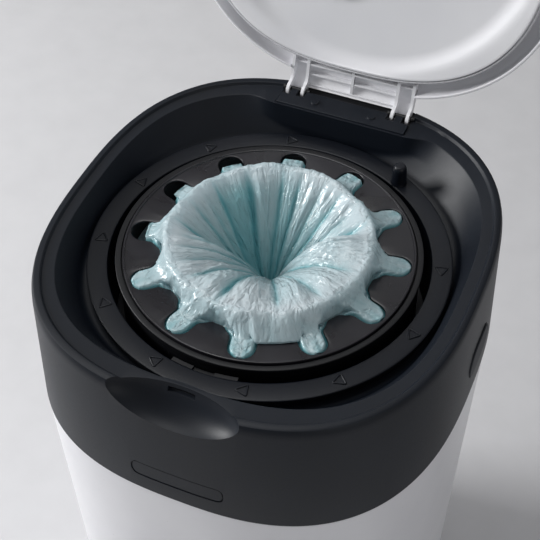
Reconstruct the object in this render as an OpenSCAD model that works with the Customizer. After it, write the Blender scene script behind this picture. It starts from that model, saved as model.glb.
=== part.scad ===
// Nappy bin with a twisting film cassette.
// Millimetres. +Z up, the scoop in front at -Y, the hinges behind at +Y.
// The origin is the centre of the underside of the tub.
// The lid is drawn open, leaning back on its stop.

/* [Tub] */
// Height of the joint between the tub and the top
joint_z = 323; // [280:1:340]
// Step from the collar in to the tub
tub_in = 0.6; // [0.4:0.1:1.5]
// Squareness of the tub outline
tub_n = 2.65; // [2.4:0.05:2.9]
// Inward taper of the tub from the joint to the floor
tub_taper = 9; // [4:0.5:16]
// Wall of the tub
tub_wall = 2.6; // [2:0.1:3.2]
// Thickness of the tub floor
tub_floor = 3; // [2:0.5:5]
// Radius of an anti-slip pad
pad_r = 9; // [7:0.5:12]

/* [Collar] */
// How much each side of the collar narrows to the lip
lean_x = 2.4; // [1:0.2:4]
// How much the front and back of the collar narrow to the lip
lean_y = 3.2; // [1:0.2:5]
// Height of the lip above the joint
lip_h = 78.5; // [77:0.5:82]
// Width of the lip at the sides
lip_x = 5.4; // [4:0.2:7]
// Width of the lip at the front and back
lip_y = 6.6; // [5:0.2:8]
// Width of the ledge inside the lip, at the sides
ledge_x = 5.8; // [4:0.2:7]
// Width of the ledge at the front and back
ledge_y = 9.7; // [8:0.2:11]
// Depth of the step from the lip to the ledge
step_h = 1.7; // [1.2:0.1:2.2]
// Width of the slope from the twist ring up to the ledge, at the sides
slope_x = 8.7; // [8:0.1:12]
// Width of the slope at the front and back
slope_y = 12.6; // [12:0.1:16]
// Depth of the well floor under the ledge
well_h = 19; // [17:0.5:21]
// Skin of the collar
skin = 2.5; // [2:0.1:3]
// Half length of the finger scoop
scoop_rx = 38; // [34:0.5:42]
// Reach of the finger scoop into the rim
scoop_ry = 17.6; // [16:0.2:18]
// Depth of the finger scoop
scoop_rz = 19; // [15:0.5:22]

/* [Twist ring] */
// Distance of the ring axis in front of the tub centre
ring_fwd = 4.2; // [3.5:0.1:5]
// Width of the top of the ring
ring_w = 10.4; // [10:0.1:12]
// Height of the ring top above the well floor
ring_h = 6.5; // [5.5:0.5:8]
// Wall of the ring and its well
ring_wall = 2.3; // [2:0.1:2.6]
// Height of the peg on the ring
peg_h = 13; // [10:0.5:13.5]
// Radius of the peg at its foot
peg_r = 4.6; // [3.5:0.1:4.6]
// Number of click teeth
click_teeth = 24; // [12:12:48]

/* [Cassette] */
// Radius of the cassette cover
cover_r = 80.8; // [78:0.2:84]
// Width of the cassette rim round its cover
rim_w = 4; // [3.6:0.1:5]
// Gap between the cassette rim and the ring
rim_gap = 4.5; // [3.5:0.1:6]
// Height of the cassette
cassette_h = 50; // [44:1:52]
// Number of notches in the cover
notches = 12; // [8:1:16]
// Angle of the first notch
notch_turn = 11.5; // [0:0.5:30]
// Width of the cover's edge outside the notches
notch_edge = 2.2; // [2:0.1:4]
// Half width of a notch
notch_half = 7.4; // [6:0.1:8]
// Radius of the core rim that the film folds over
core_r = 56.5; // [54:0.5:57]
// Height of the core rim above the cover
core_up = 7.6; // [4:0.2:8]
// Depth of the film funnel under the cover
funnel_d = 27; // [20:1:34]
// Thickness that stands for the film
film_t = 1; // [0.6:0.1:1.4]

/* [Lid] */
// How far the lid stands inside the lip at the sides
lid_in_x = 3.3; // [2.6:0.1:5]
// How far the lid stands inside the lip at the front and back, together halved
lid_in_y = 11.5; // [11.2:0.1:13]
// Squareness of the lid outline
lid_n = 2.42; // [2.3:0.02:2.6]
// Height of the lid above its rim
lid_h = 20; // [18:0.5:24]
// Wall of the lid
lid_wall = 2.2; // [1.8:0.1:2.6]
// Gap round the liner when the lid is shut
liner_in = 5; // [4:0.1:6.4]
// Width of the flat band round the liner's recess
liner_band = 3.9; // [3.4:0.1:5]
// Depth of the recess
recess_d = 5.5; // [5:0.5:7]
// How far the lid stands open
lid_open = 101.4; // [95:0.1:105]

/* [Hinges] */
// Distance of the lid pins in front of the lip
pin_in = 3.5; // [3:0.1:4]
// Radius of the lid pins
lid_pin_r = 1.6; // [1.4:0.1:1.8]
// Distance of each lid arm from the middle
arm_x = 33.6; // [32:0.2:34.4]
// Distance between the two cheeks of an arm
cheek_gap = 9.6; // [8.6:0.2:10]
// Thickness of a cheek
cheek_t = 1.9; // [1.6:0.1:2.2]
// Radius of the rear hinge pin
rear_pin_r = 2; // [1.6:0.1:2.2]
// Radius of a rear hinge knuckle
knuckle_r = 5; // [4.6:0.1:5.2]

/* [Button] */
// Length of the release button
button_l = 34; // [28:1:38]
// Height of the release button
button_h = 22; // [16:1:24]
// Height of the button centre above the joint
button_up = 27; // [24:1:30]
// Travel of the button
button_travel = 3; // [2:0.5:3.5]

/* [Fits] */
// Gap between pieces that do not touch
gap = 0.3; // [0.2:0.05:0.4]
// Radial clearance of a turning pin
run = 0.08; // [0.05:0.01:0.1]
// Radial clearance of a fixed pin
hold = 0.03; // [0.02:0.01:0.05]

/* [Hidden] */
SEG = 64;
ROUND = 64;

// Radii about the ring axis, from the cassette out.
rim_r = cover_r + rim_w;
hole_r = rim_r + rim_gap;
ring_r = hole_r + ring_w;
well_r = hole_r + ring_wall;
notch_r = cover_r - notch_edge;
tooth_r = core_r + 3.7;
tooth_h = 1.4;
click_rim = 2.2;
pawl_room = 1.7;
chute_t = 2.4;
chute_in = well_r + click_rim + tooth_h + pawl_room + 2 * gap;
chute_r = chute_in + chute_t;

// Half sizes of the top, from the ring out.
well_a = ring_r + slope_x;
well_b = ring_r + slope_y;
step_a = well_a + ledge_x;
step_b = well_b + ledge_y;
lip_a = step_a + lip_x;
lip_b = step_b + lip_y;
collar_a = lip_a + lean_x;
collar_b = lip_b + lean_y;
tub_a = collar_a - tub_in;
tub_b = collar_b - tub_in;
lid_a = lip_a - lid_in_x;
lid_b = lip_b - lid_in_y;
liner_a = well_a - liner_in;
recess_r = liner_a - liner_band;

// Places and heights.
ring_y = -ring_fwd;
lip_z = joint_z + lip_h;
ledge_z = lip_z - step_h;
floor_z = ledge_z - well_h;
ring_z = floor_z + ring_h;
cover_z = ring_z + 4.5;
rim_z = cover_z - 0.6;
tub_top = joint_z - gap;
pin_y = step_b - pin_in;
pin_z = ledge_z + 0.5;
rear_y = collar_b + knuckle_r;
lid_z = lip_z + 0.7;
lid_y = ring_y - 2.9;
liner_z = ledge_z - 0.2;
sill_z = cassette_floor() - gap;
chute_z = sill_z - ring_wall - 4.5;
button_z = joint_z + button_up;
button_y = 5;
wall_x = collar_a - 1;

function cassette_floor() = rim_z - cassette_h;
function power(v, e) = sign(v) * pow(abs(v), e);

// Points of a squared oval, from half sizes a and b and squareness n.
function oval(a, b, n, cy = 0, seg = SEG) =
    [for (i = [0:seg - 1]) let (t = 360 * (i + 0.5) / seg)
        [a * power(cos(t), 2 / n), cy + b * power(sin(t), 2 / n)]];

// A ring of the surface: half sizes a and b, squareness n, centre cy, height z.
function level(s) = [for (p = oval(s[0], s[1], s[2], s[3])) [p[0], p[1], s[4]]];
function all_levels(s) = [for (r = s) each level(r)];
function band(k, k2) =
    [for (i = [0:SEG - 1]) let (j = (i + 1) % SEG)
        each [[k * SEG + i, k2 * SEG + i, k2 * SEG + j], [k * SEG + i, k2 * SEG + j, k * SEG + j]]];

// A shell whose section closes on itself, such as a wall with no floor.
module hoop(s) {
    n = len(s);
    polyhedron(all_levels(s), [for (k = [0:n - 1]) each band(k, (k + 1) % n)], convexity = 8);
}

// A shell with a flat face at each end of its list of rings.
module dish(s) {
    n = len(s);
    first = [for (i = [0:SEG - 1]) i];
    last = [for (i = [0:SEG - 1]) n * SEG - 1 - i];
    faces = concat([for (k = [0:n - 2]) each band(k, k + 1)], [first, last]);
    polyhedron(all_levels(s), faces, convexity = 8);
}

// ---- tub ----

pad_x = tub_a - 51.4;
pad_y = tub_b - 53.2;

function tub_level(z, inset) =
    let (d = tub_taper * (joint_z - z) / joint_z + inset)
    [tub_a - d, tub_b - d, tub_n, 0, z];

module hinge_window(low, high, extra) {
    translate([-leaf_x - extra, leaf_front - 4, low - extra])
        cube([2 * (leaf_x + extra), 20, high - low + 2 * extra]);
}

module tub() {
    color("white") difference() {
        dish([tub_level(tub_floor, tub_wall + 3), tub_level(tub_floor + 3, tub_wall),
            tub_level(tub_top, tub_wall), tub_level(tub_top, 0), tub_level(5, 0), tub_level(2.6, 0.5),
            tub_level(0.6, 1.8), tub_level(0, 3)]);
        hinge_window(joint_z - leaf_h, joint_z + 5, gap);
        for (x = [-pad_x, pad_x], y = [-pad_y, pad_y])
            translate([x, y, -1]) cylinder(r = pad_r + gap, h = 2.5, $fn = 40);
    }
}

module base_pads() {
    color("dimgray") for (x = [-pad_x, pad_x], y = [-pad_y, pad_y])
        translate([x, y, 0]) cylinder(r = pad_r, h = 1.5, $fn = 40);
}

// ---- rear hinge ----

leaf_x = 36;
leaf_h = 10;
leaf_front = tub_b - 4.2;
leaf_back = rear_y - knuckle_r - 0.5;
outer_knuckles = [[-35.5, -19.2], [-7.8, 7.8], [19.2, 35.5]];
inner_knuckles = [[-18.9, -8.1], [8.1, 18.9]];

module knuckles(spans, bore, side) {
    for (s = spans) translate([s[0], rear_y, joint_z]) rotate([90, 0, 90]) difference() {
        linear_extrude(s[1] - s[0]) union() {
            circle(knuckle_r, $fn = 40);
            polygon([[leaf_back - 1 - rear_y, side * gap], [0, side * gap], [0, side * knuckle_r],
                [leaf_back - 1 - rear_y, side * (leaf_h - 1)]]);
        }
        translate([0, 0, -1]) cylinder(r = bore, h = s[1] - s[0] + 2, $fn = 40);
    }
}

module leaf_plate(low) {
    translate([-leaf_x, leaf_front, low]) cube([2 * leaf_x, leaf_back - leaf_front, leaf_h - gap]);
}

module upper_hinge_leaf() {
    color("darkslategray") union() {
        leaf_plate(joint_z + gap);
        knuckles(outer_knuckles, rear_pin_r + run, 1);
    }
}

module lower_hinge_leaf() {
    color("white") union() {
        leaf_plate(joint_z - leaf_h);
        knuckles(inner_knuckles, rear_pin_r + hold, -1);
    }
}

module rear_hinge_pin() {
    reach = leaf_x + 0.2;
    color("silver") translate([-reach, rear_y, joint_z]) rotate([0, 90, 0])
        cylinder(r = rear_pin_r, h = 2 * reach, $fn = 40);
}

// ---- collar ----

function collar_level(z, inset) =
    let (t = (z - joint_z) / lip_h)
    [collar_a + (lip_a - collar_a) * t - inset, collar_b + (lip_b - collar_b) * t - inset, 2.62, 0, z];

crease_z = floor_z + 7.5;
deck_hole = well_r + 0.7;
under_z = floor_z - skin;

collar_skin = [
    collar_level(joint_z, skin), collar_level(lip_z - 6, skin), collar_level(lip_z - 3, skin + 2),
    [step_a - 1, step_b - 1, 2.66, 0, ledge_z - skin],
    [well_a + 1, well_b + 1, 2.74, 0, ledge_z - skin],
    [ring_r + 4.8, ring_r + 5.8, 2.6, -1.5, crease_z - skin + 0.5],
    [ring_r + 2.3, ring_r + 2.6, 2.25, ring_y + 0.6, under_z],
    [deck_hole, deck_hole, 2, ring_y, under_z],
    [deck_hole, deck_hole, 2, ring_y, floor_z],
    [ring_r + 1.7, ring_r + 1.9, 2.25, ring_y + 0.6, floor_z],
    [ring_r + 3.6, ring_r + 4.3, 2.6, -1.5, crease_z],
    [well_a - 0.6, well_b - 0.7, 2.74, 0, ledge_z - 0.6],
    [well_a, well_b, 2.74, 0, ledge_z],
    [step_a, step_b, 2.66, 0, ledge_z],
    [step_a + 0.3, step_b + 0.3, 2.66, 0, lip_z - 0.4],
    [step_a + 0.9, step_b + 0.9, 2.66, 0, lip_z],
    [lip_a - 2.2, lip_b - 2.2, 2.64, 0, lip_z - 0.2],
    collar_level(lip_z - 2, 0.9), collar_level(lip_z - 4.2, 0.1), collar_level(lip_z - 8, 0),
    collar_level(joint_z + 1, 0), collar_level(joint_z, 0.6)
];

module scoop_solid(grow) {
    translate([0, -scoop_y, lip_z + 0.5])
        scale([scoop_rx + grow, scoop_ry + grow, scoop_rz + grow]) sphere(1, $fn = 36);
}

scoop_y = lip_b + 2.4;
pocket_x = arm_x + 9.9;
pocket_front = pin_y - 16.8;
pocket_back = pin_y + 6.4;
pocket_z = ledge_z - 9;
ear_r = chute_r + 2.9;
ear_t = 3;
ear_z = under_z - gap - ear_t;
slot_z = ledge_z - 5.5;
slot_h = 3;
catch_x = 6.5;

// The slot behind the scoop that takes the lid catch.
module catch_slot() {
    translate([-catch_x - 1, -scoop_y + 13, slot_z]) cube([2 * catch_x + 2, 14, slot_h]);
}

module at_ears() {
    for (a = [45:90:315]) translate([ear_r * cos(a), ring_y + ear_r * sin(a), 0]) children();
}

module button_oval(grow) {
    r = button_h / 2 + grow;
    hull() for (s = [-1, 1]) translate([s * (button_l - button_h) / 2, 0]) circle(r, $fn = 32);
}

module side_prism(x0, x1, grow) {
    translate([x0, button_y, button_z]) rotate([90, 0, 90]) linear_extrude(x1 - x0)
        button_oval(grow);
}

module collar() {
    color("darkslategray") difference() {
        hoop(collar_skin);
        scoop_solid(skin);
        translate([-pocket_x, pocket_front, pocket_z]) cube([2 * pocket_x, pocket_back - pocket_front, 30]);
        hinge_window(joint_z - 5, joint_z + leaf_h, gap);
        side_prism(wall_x - 12, wall_x + 12, 0.5);
        catch_slot();
        at_ears() translate([0, 0, under_z - 1]) cylinder(r = 1.6, h = 3, $fn = 24);
    }
}

module scoop_bowl() {
    color("darkslategray") difference() {
        intersection() {
            scoop_solid(skin - 0.1);
            dish([collar_level(joint_z + 40, 0.05), collar_level(lip_z - 8, 0.05),
                collar_level(lip_z - 4.2, 0.15), collar_level(lip_z - 2, 0.95),
                [lip_a - 2.2, lip_b - 2.2, 2.64, 0, lip_z - 0.2],
                [step_a + 0.9, step_b + 0.9, 2.66, 0, lip_z],
                [step_a + 0.3, step_b + 0.3, 2.66, 0, lip_z - 0.4],
                [step_a, step_b, 2.66, 0, ledge_z]]);
        }
        scoop_solid(0);
        catch_slot();
    }
}

// ---- lid hinge in the collar ----

block_top = ledge_z;
cover_t = 2.4;
cover_x = arm_x + 7.1;
cover_back = pin_y - lid_pin_r - gap;
slot_x = cheek_gap / 2 + cheek_t / 2 + 0.6;
slot_r = 6.7;
screw_x = 18;
screw_r = 1.2;
screw_l = 7;
screw_y = pin_y - 9.5;

module lug_slots() {
    for (s = [-1, 1]) translate([s * arm_x - slot_x, 0, 0]) {
        translate([0, pin_y, pin_z]) rotate([0, 90, 0])
            cylinder(r = slot_r, h = 2 * slot_x, $fn = 40);
        translate([0, pin_y - 6.4, pin_z]) cube([2 * slot_x, 20, 20]);
    }
}

// One narrow notch for each cheek, so that a tongue stays between them.
module cheek_notches() {
    w = cheek_t + 1.2;
    for (s = [-1, 1], k = [-1, 1])
        translate([s * arm_x + k * cheek_gap / 2 - w / 2, pin_y - slot_r, pin_z - 5]) cube([w, 20, 20]);
}

module at_cover_screws() {
    for (x = [-screw_x, screw_x]) translate([x, screw_y, block_top]) children();
}

module hinge_block() {
    color("darkslategray") difference() {
        translate([-pocket_x + gap, pocket_front + gap, pocket_z + 0.6])
            cube([2 * (pocket_x - gap), pocket_back - pocket_front - 2 * gap, block_top - pocket_z - 0.6]);
        lug_slots();
        for (s = [-1, 1]) translate([s * arm_x - slot_x - 2.4, pin_y, pin_z]) rotate([0, 90, 0])
            cylinder(r = lid_pin_r + hold, h = 2 * slot_x + 4.8, $fn = 32);
        at_cover_screws() translate([0, 0, -screw_l])
            cylinder(r = screw_r + 0.1, h = screw_l + 1, $fn = 24);
    }
}

module hinge_cover() {
    color("darkslategray") difference() {
        translate([-cover_x, pocket_front + gap, block_top])
            cube([2 * cover_x, cover_back - pocket_front - gap, cover_t]);
        cheek_notches();
        at_cover_screws() translate([0, 0, -1]) cylinder(r = screw_r + gap, h = screw_l + 1, $fn = 24);
    }
}

module cover_screws() {
    color("silver") at_cover_screws() union() {
        translate([0, 0, 0.5 - screw_l]) cylinder(r = screw_r, h = screw_l + cover_t, $fn = 24);
        translate([0, 0, cover_t]) cylinder(r1 = 2.6, r2 = 2.2, h = 0.8, $fn = 24);
    }
}

module lid_pins() {
    color("silver") for (s = [-1, 1]) translate([s * arm_x - slot_x - 2.2, pin_y, pin_z])
        rotate([0, 90, 0]) cylinder(r = lid_pin_r, h = 2 * slot_x + 4.4, $fn = 32);
}

// ---- chute, gripper, pawl and cutter ----

throat_r = 46;

module around_ring() {
    translate([0, ring_y, 0]) children();
}

module ear_discs(r, extra) {
    for (a = [45:90:315]) rotate(a) translate([ear_r, 0, ear_z - extra])
        cylinder(r = r, h = ear_t + 2 * extra, $fn = 32);
}

module chute() {
    color("darkslategray") around_ring() difference() {
        union() {
            rotate_extrude($fn = ROUND) polygon([
                [throat_r, chute_z - 14], [throat_r + chute_t, chute_z - 14],
                [throat_r + chute_t, chute_z - chute_t], [chute_r - 4, chute_z - chute_t],
                [chute_r, chute_z + 2], [chute_r, under_z - gap], [chute_in, under_z - gap],
                [chute_in, chute_z + 3], [chute_in - 2.6, chute_z], [throat_r, chute_z]]);
            ear_discs(4.6, 0);
        }
        ear_discs(2, 1);
    }
}

module chute_screws() {
    color("silver") at_ears() translate([0, 0, ear_z]) union() {
        translate([0, 0, -2]) cylinder(r = 2.6, h = 2, $fn = 32);
        translate([0, 0, -0.5]) cylinder(r = 1.5, h = ear_t + gap + 2.3, $fn = 24);
    }
}

grip_fingers = 8;

module gripper() {
    color("gray") around_ring() difference() {
        rotate_extrude($fn = ROUND) polygon([
            [throat_r + 10, chute_z + gap], [throat_r + 10, chute_z + 2.3], [throat_r - 2, chute_z + 2.3],
            [11, chute_z - 17.5], [11, chute_z - 20], [throat_r - 2.5, chute_z + gap]]);
        for (a = [0:360 / grip_fingers:359]) rotate(a) translate([0, -1, chute_z - 30])
            cube([throat_r - 5, 2, 40]);
    }
}

click_r = well_r + click_rim;
click_z = under_z - 7.4;
click_t = 4;

function polar(r, a) = [r * cos(a), r * sin(a)];

module click_ring() {
    step = 360 / click_teeth;
    outline = [for (i = [0:click_teeth - 1]) each [
        polar(click_r, i * step),
        polar(click_r + tooth_h, (i + 0.8) * step),
        polar(click_r + tooth_h, (i + 0.95) * step)
    ]];
    color("lightgray") around_ring() translate([0, 0, click_z]) difference() {
        linear_extrude(click_t) polygon(outline);
        translate([0, 0, -1]) cylinder(r = well_r + gap, h = click_t + 2, $fn = 3 * ROUND);
    }
}

pawl_turn = -30;

module click_pawl() {
    tip = click_r + 0.6;
    arm = click_r + tooth_h + gap + 0.5;
    color("orange") around_ring() rotate(pawl_turn) translate([0, 0, click_z]) linear_extrude(click_t)
        polygon([polar(tip, 0.4), polar(tip, 1.5), polar(arm, 4), polar(arm, 8), polar(arm, 12),
            polar(arm, 15), polar(chute_in - 0.02, 15), polar(chute_in - 0.02, 13),
            polar(chute_in - gap, 12), polar(chute_in - gap, 8), polar(chute_in - gap, 4),
            polar(arm + 0.2, 2.4)]);
}

cutter_y = -(throat_r + 18);
housing_l = 30;
housing_w = 12;
housing_h = 14;

module cutter_housing() {
    color("lightgray") translate([0, ring_y + cutter_y, chute_z - chute_t - gap]) difference() {
        translate([-housing_l / 2, -housing_w / 2, -housing_h]) cube([housing_l, housing_w, housing_h]);
        translate([-housing_l / 2 - 1, -1, -housing_h - 1]) cube([housing_l + 2, 2, 8]);
        translate([-5, -housing_w / 2 - 1, -housing_h - 1]) cube([10, housing_w + 2, 7]);
    }
}

module cutter_blade() {
    color("silver") translate([0, ring_y + cutter_y, chute_z - chute_t - gap - housing_h + 1])
        rotate([90, 0, 0]) translate([0, 0, -0.3]) linear_extrude(0.6)
            polygon([[-13, 0], [-3.4, 0], [3.4, 5.6], [13, 5.6], [13, 5.7], [-13, 5.7]]);
}

// ---- twist ring and cassette ----

peg_turn = 60;
peg_at = (hole_r + ring_r) / 2;

module twist_ring() {
    color("darkslategray") around_ring() union() {
        rotate_extrude($fn = 2 * ROUND) polygon([
            [well_r - 11, sill_z - ring_wall], [well_r, sill_z - ring_wall], [well_r, ring_z - 2.6],
            [ring_r - 2.2, ring_z - 2.6], [ring_r - 2.2, floor_z + 0.4], [ring_r, floor_z + 0.4],
            [ring_r, ring_z - 0.5], [ring_r - 0.5, ring_z], [hole_r + 0.4, ring_z], [hole_r, ring_z - 0.4],
            [hole_r, sill_z], [well_r - 11, sill_z]]);
        rotate(peg_turn) translate([peg_at, 0, ring_z - 1]) rotate_extrude($fn = 40) polygon([
            [0, 0], [peg_r, 0], [peg_r, 1], [peg_r - 0.3, 2], [peg_r - 1.1, peg_h - 3],
            [peg_r - 1.7, peg_h - 1], [peg_r - 2.8, peg_h + 0.3], [peg_r - 3.9, peg_h + 0.85],
            [0, peg_h + 1]]);
    }
}

catch_turn = -89.5;

module cassette_catch() {
    color("dimgray") around_ring() intersection() {
        rotate_extrude($fn = 2 * ROUND) polygon([
            [hole_r - 3.2, ring_z - 3], [hole_r - gap, ring_z - 3], [hole_r - gap, ring_z - 0.8],
            [hole_r - 2.6, ring_z - 0.8]]);
        union() {
            for (s = [-1, 1]) rotate(catch_turn + s * 8) translate([hole_r - 10, -6.2, ring_z - 10])
                cube([20, 12.4, 20]);
            rotate(catch_turn) translate([hole_r - 10, -12, ring_z - 10]) cube([9.1, 24, 7.7]);
        }
    }
}

ledge_r = cover_r - 2.4;

module cassette_tub() {
    base = cassette_floor();
    color("darkslategray") around_ring() rotate_extrude($fn = 2 * ROUND) polygon([
        [core_r - 6, base], [rim_r - 1.6, base], [rim_r - 1.4, rim_z - 6], [rim_r, rim_z - 1.5],
        [rim_r, rim_z], [cover_r + gap + 0.3, rim_z], [cover_r + gap + 0.3, cover_z - 1.5 - gap],
        [ledge_r, cover_z - 1.5 - gap], [ledge_r, cover_z - 3.2], [rim_r - 3.2, cover_z - 5.6],
        [rim_r - 3.2, base + 1.8], [core_r - 4.2, base + 1.8], [core_r - 4.2, rim_z - 8],
        [core_r - 6, rim_z - 8]]);
}

// Outline of one notch, pointing along +X: narrow inside and rounded outside.
module notch_shape(inset) {
    h = notch_half - inset;
    end = notch_r - notch_half;
    union() {
        translate([end, 0]) circle(h, $fn = 32);
        polygon([[tooth_r - 4, -h - 6], [tooth_r + 1, -h - 3.6], [tooth_r + 4.5, -h], [end, -h],
            [end, h], [tooth_r + 4.5, h], [tooth_r + 1, h + 3.6], [tooth_r - 4, h + 6]]);
    }
}

module at_notches() {
    for (i = [0:notches - 1]) rotate(notch_turn + i * 360 / notches) children();
}

module cassette_cover() {
    color("indigo") around_ring() union() {
        translate([0, 0, cover_z - 1.5]) linear_extrude(1.5) difference() {
            circle(cover_r, $fn = 2 * ROUND);
            circle(tooth_r, $fn = 2 * ROUND);
            at_notches() notch_shape(0);
        }
        rotate_extrude($fn = 2 * ROUND) polygon([[cover_r - 1.6, cover_z - 0.5], [cover_r, cover_z - 0.5],
            [cover_r, cover_z + 0.2], [cover_r - 0.6, cover_z + 0.6], [cover_r - 1.4, cover_z + 0.4]]);
    }
}

module core_ring() {
    color("white") around_ring() rotate_extrude($fn = 2 * ROUND) polygon([
        [core_r - 4.2 + gap, rim_z - 14], [core_r - 2.4, rim_z - 14], [core_r - 2.2, cover_z + core_up - 3],
        [core_r - 1.2, cover_z + core_up - 1.2], [core_r - 2.6, cover_z + core_up],
        [core_r - 4.4, cover_z + core_up - 1.2],
        [core_r - 4.9, cover_z], [core_r - 4.9, rim_z - 7.4], [core_r - 4.2 + gap, rim_z - 7.4]]);
}

// Section of the funnel, from the core rim in to the knot, by a smooth rule.
film_up = core_up + 0.9;
function sag(t) = cover_z + film_up - (funnel_d + film_up) * pow(t, 1.3);
function funnel_r(t) = core_r - 3 - (core_r - 7) * t;
knot_r = 3.2;

module film() {
    steps = [0:0.125:1];
    color("turquoise") around_ring() union() {
        rotate_extrude($fn = ROUND) polygon(concat(
            [[core_r + 2, cover_z + 1.4], [core_r + 1.6, cover_z + film_up - 2],
                [core_r - 1, cover_z + film_up + 0.3]],
            [for (t = steps) [funnel_r(t), sag(t) + film_t]],
            [[0, sag(1) + film_t], [0, sag(1) - 16], [knot_r, sag(1) - 16], [knot_r, sag(1) - 2]],
            [for (t = [0.875:-0.125:0])
                [max(knot_r, funnel_r(t) - 0.9), sag(t) - (t > 0 ? 0.4 : 0.2)]],
            [[core_r - 2.6, cover_z + core_up + 0.3], [core_r - 0.7, cover_z + core_up - 1.1],
                [core_r + 0.6, cover_z + 0.6]]));
        at_notches() difference() {
            translate([0, 0, cover_z - 4.2]) linear_extrude(6) notch_shape(0.5);
            translate([0, 0, cover_z - 10]) cylinder(r = core_r + 0.5, h = 20, $fn = 2 * ROUND);
        }
    }
}

module film_pack() {
    base = cassette_floor();
    color("paleturquoise") around_ring() rotate_extrude($fn = ROUND) polygon([
        [core_r + 1, base + 2.2], [rim_r - 4, base + 2.2], [rim_r - 4, cover_z - 20],
        [core_r + 1, cover_z - 14]]);
}

// ---- release button ----

module release_button() {
    color("slategray") union() {
        side_prism(wall_x - 4.4, wall_x + 0.9, 0);
        side_prism(wall_x - 7.4, wall_x - 4, 1.6);
        translate([wall_x - 12, button_y - 6, button_z - 6]) cube([5, 12, 12]);
    }
}

hook_x = wall_x - 12 - gap;
hook_t = 2.5;

module latch_hook() {
    color("lightgray") translate([0, button_y + 8, 0]) rotate([90, 0, 0]) linear_extrude(16)
        polygon([[hook_x - hook_t, button_z + 5], [hook_x - hook_t, joint_z - 14],
            [hook_x + 1.2, joint_z - 14], [hook_x + 1.2, joint_z - 12], [hook_x, joint_z - 9],
            [hook_x, button_z + 5]]);
}

module latch_keeper() {
    inner = tub_level(joint_z - 10, tub_wall)[0];
    color("lightgray") translate([0, button_y + 7, 0]) rotate([90, 0, 0]) linear_extrude(14)
        polygon([[inner - 0.9, joint_z - 4], [inner - 0.9, joint_z - 13], [hook_x + 1.5 + gap, joint_z - 9],
            [hook_x + 1.5 + gap, joint_z - 7.6]]);
}

spring_r = 4;
wire_r = 0.5;
spring_turns = 4;

module button_spring() {
    x0 = sqrt(pow(chute_r, 2) - pow(button_y - ring_y + spring_r, 2)) + 1.6;
    x1 = hook_x - hook_t - gap - wire_r;
    sides = 6;
    rings = spring_turns * 14;
    pts = [for (i = [0:rings]) let (t = i / rings, a = 360 * spring_turns * t)
        for (k = [0:sides - 1]) let (b = 360 * k / sides, r = spring_r + wire_r * cos(b))
            [x0 + (x1 - x0) * t + wire_r * sin(b), r * cos(a), r * sin(a)]];
    faces = concat(
        [for (i = [0:rings - 1], k = [0:sides - 1]) let (k2 = (k + 1) % sides)
            each [[i * sides + k, i * sides + k2, (i + 1) * sides + k2],
                [i * sides + k, (i + 1) * sides + k2, (i + 1) * sides + k]]],
        [[for (k = [0:sides - 1]) sides - 1 - k], [for (k = [0:sides - 1]) rings * sides + k]]);
    color("silver") translate([0, button_y, button_z]) polyhedron(pts, faces, convexity = 10);
}

// ---- lid ----

module opened() {
    translate([0, pin_y, pin_z]) rotate([-lid_open, 0, 0]) translate([0, -pin_y, -pin_z]) children();
}

function lid_level(inset, up) = [lid_a - inset, lid_b - inset, lid_n, lid_y, lid_z + up];

module lid_shell() {
    w = lid_wall;
    bay_x = arm_x + cheek_gap / 2 + cheek_t / 2 + gap;
    color("white") opened() difference() {
    dish([
        lid_level(92, lid_h - w), lid_level(62, lid_h - w - 0.3), lid_level(32, lid_h - w - 1.8),
        lid_level(15.6, lid_h - w - 4.2), lid_level(6.6, lid_h - w - 8), lid_level(3, lid_h - w - 12),
        lid_level(w, 3), lid_level(w + 0.3, 0), lid_level(1, 0), lid_level(0, 2.7),
        lid_level(0.7, 7), lid_level(4.8, lid_h - 8), lid_level(14, lid_h - 4.4),
        lid_level(31, lid_h - 1.9), lid_level(61, lid_h - 0.3), lid_level(91, lid_h)]);
    translate([-bay_x, pin_y - 16, lid_z - 5]) cube([2 * bay_x, 30, pin_z + 9 + gap - lid_z + 5]);
    }
}

function liner_level(inset, n, up) = [liner_a - inset, liner_a - inset, n, lid_y, liner_z + up];
function round_level(r, up) = [r, r, 2, ring_y, liner_z + up];

module lid_liner() {
    t = 2;
    color("white") opened() dish([
        round_level(60, recess_d + t), round_level(recess_r - 7.2, recess_d - 1 + t),
        round_level(recess_r - 1, t + 0.6), liner_level(2.6, 2.6, t + 0.4), liner_level(2.4, 2.42, 14.4),
        liner_level(0.3, 2.42, 14.4), liner_level(0, 2.63, 1), liner_level(0.4, 2.63, 0.2),
        liner_level(1.2, 2.63, 0), liner_level(1.6, 2.63, 0), round_level(recess_r, 0.4),
        round_level(recess_r - 6.5, recess_d - 1), round_level(60, recess_d)]);
}

module lid_seal() {
    color("gainsboro") opened() hoop([
        liner_level(-gap, 2.63, 3.4), liner_level(-gap, 2.63, 0.9), liner_level(-1, 2.63, 0.5),
        liner_level(-1.7, 2.63, 1.1), liner_level(-1.4, 2.63, 3.4)]);
}

bar_in = -21;
bar_top = 9;

// A rib between the arms: how far in front of the pins, how thick, and its lowest edge.
module bar_rib(in, thick, low) {
    translate([-arm_x, pin_y - in, pin_z + low]) cube([2 * arm_x, thick, bar_top - low]);
}

module arm_cheek(x) {
    translate([x - cheek_t / 2, pin_y, pin_z]) rotate([90, 0, 90]) difference() {
        linear_extrude(cheek_t) union() {
            circle(4.4, $fn = 40);
            polygon([[bar_in, 3.6], [-15.2, 3], [-8, 2.8], [-5.6, 1.6], [-4.2, -0.8], [-1, -3], [3.6, 1.6],
                [2.4, 3.8], [-1.4, 5.6], [-4.4, 7], [-9.4, bar_top], [bar_in, bar_top]]);
        }
        translate([0, 0, -1]) cylinder(r = lid_pin_r + run, h = cheek_t + 2, $fn = 40);
    }
}

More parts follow.
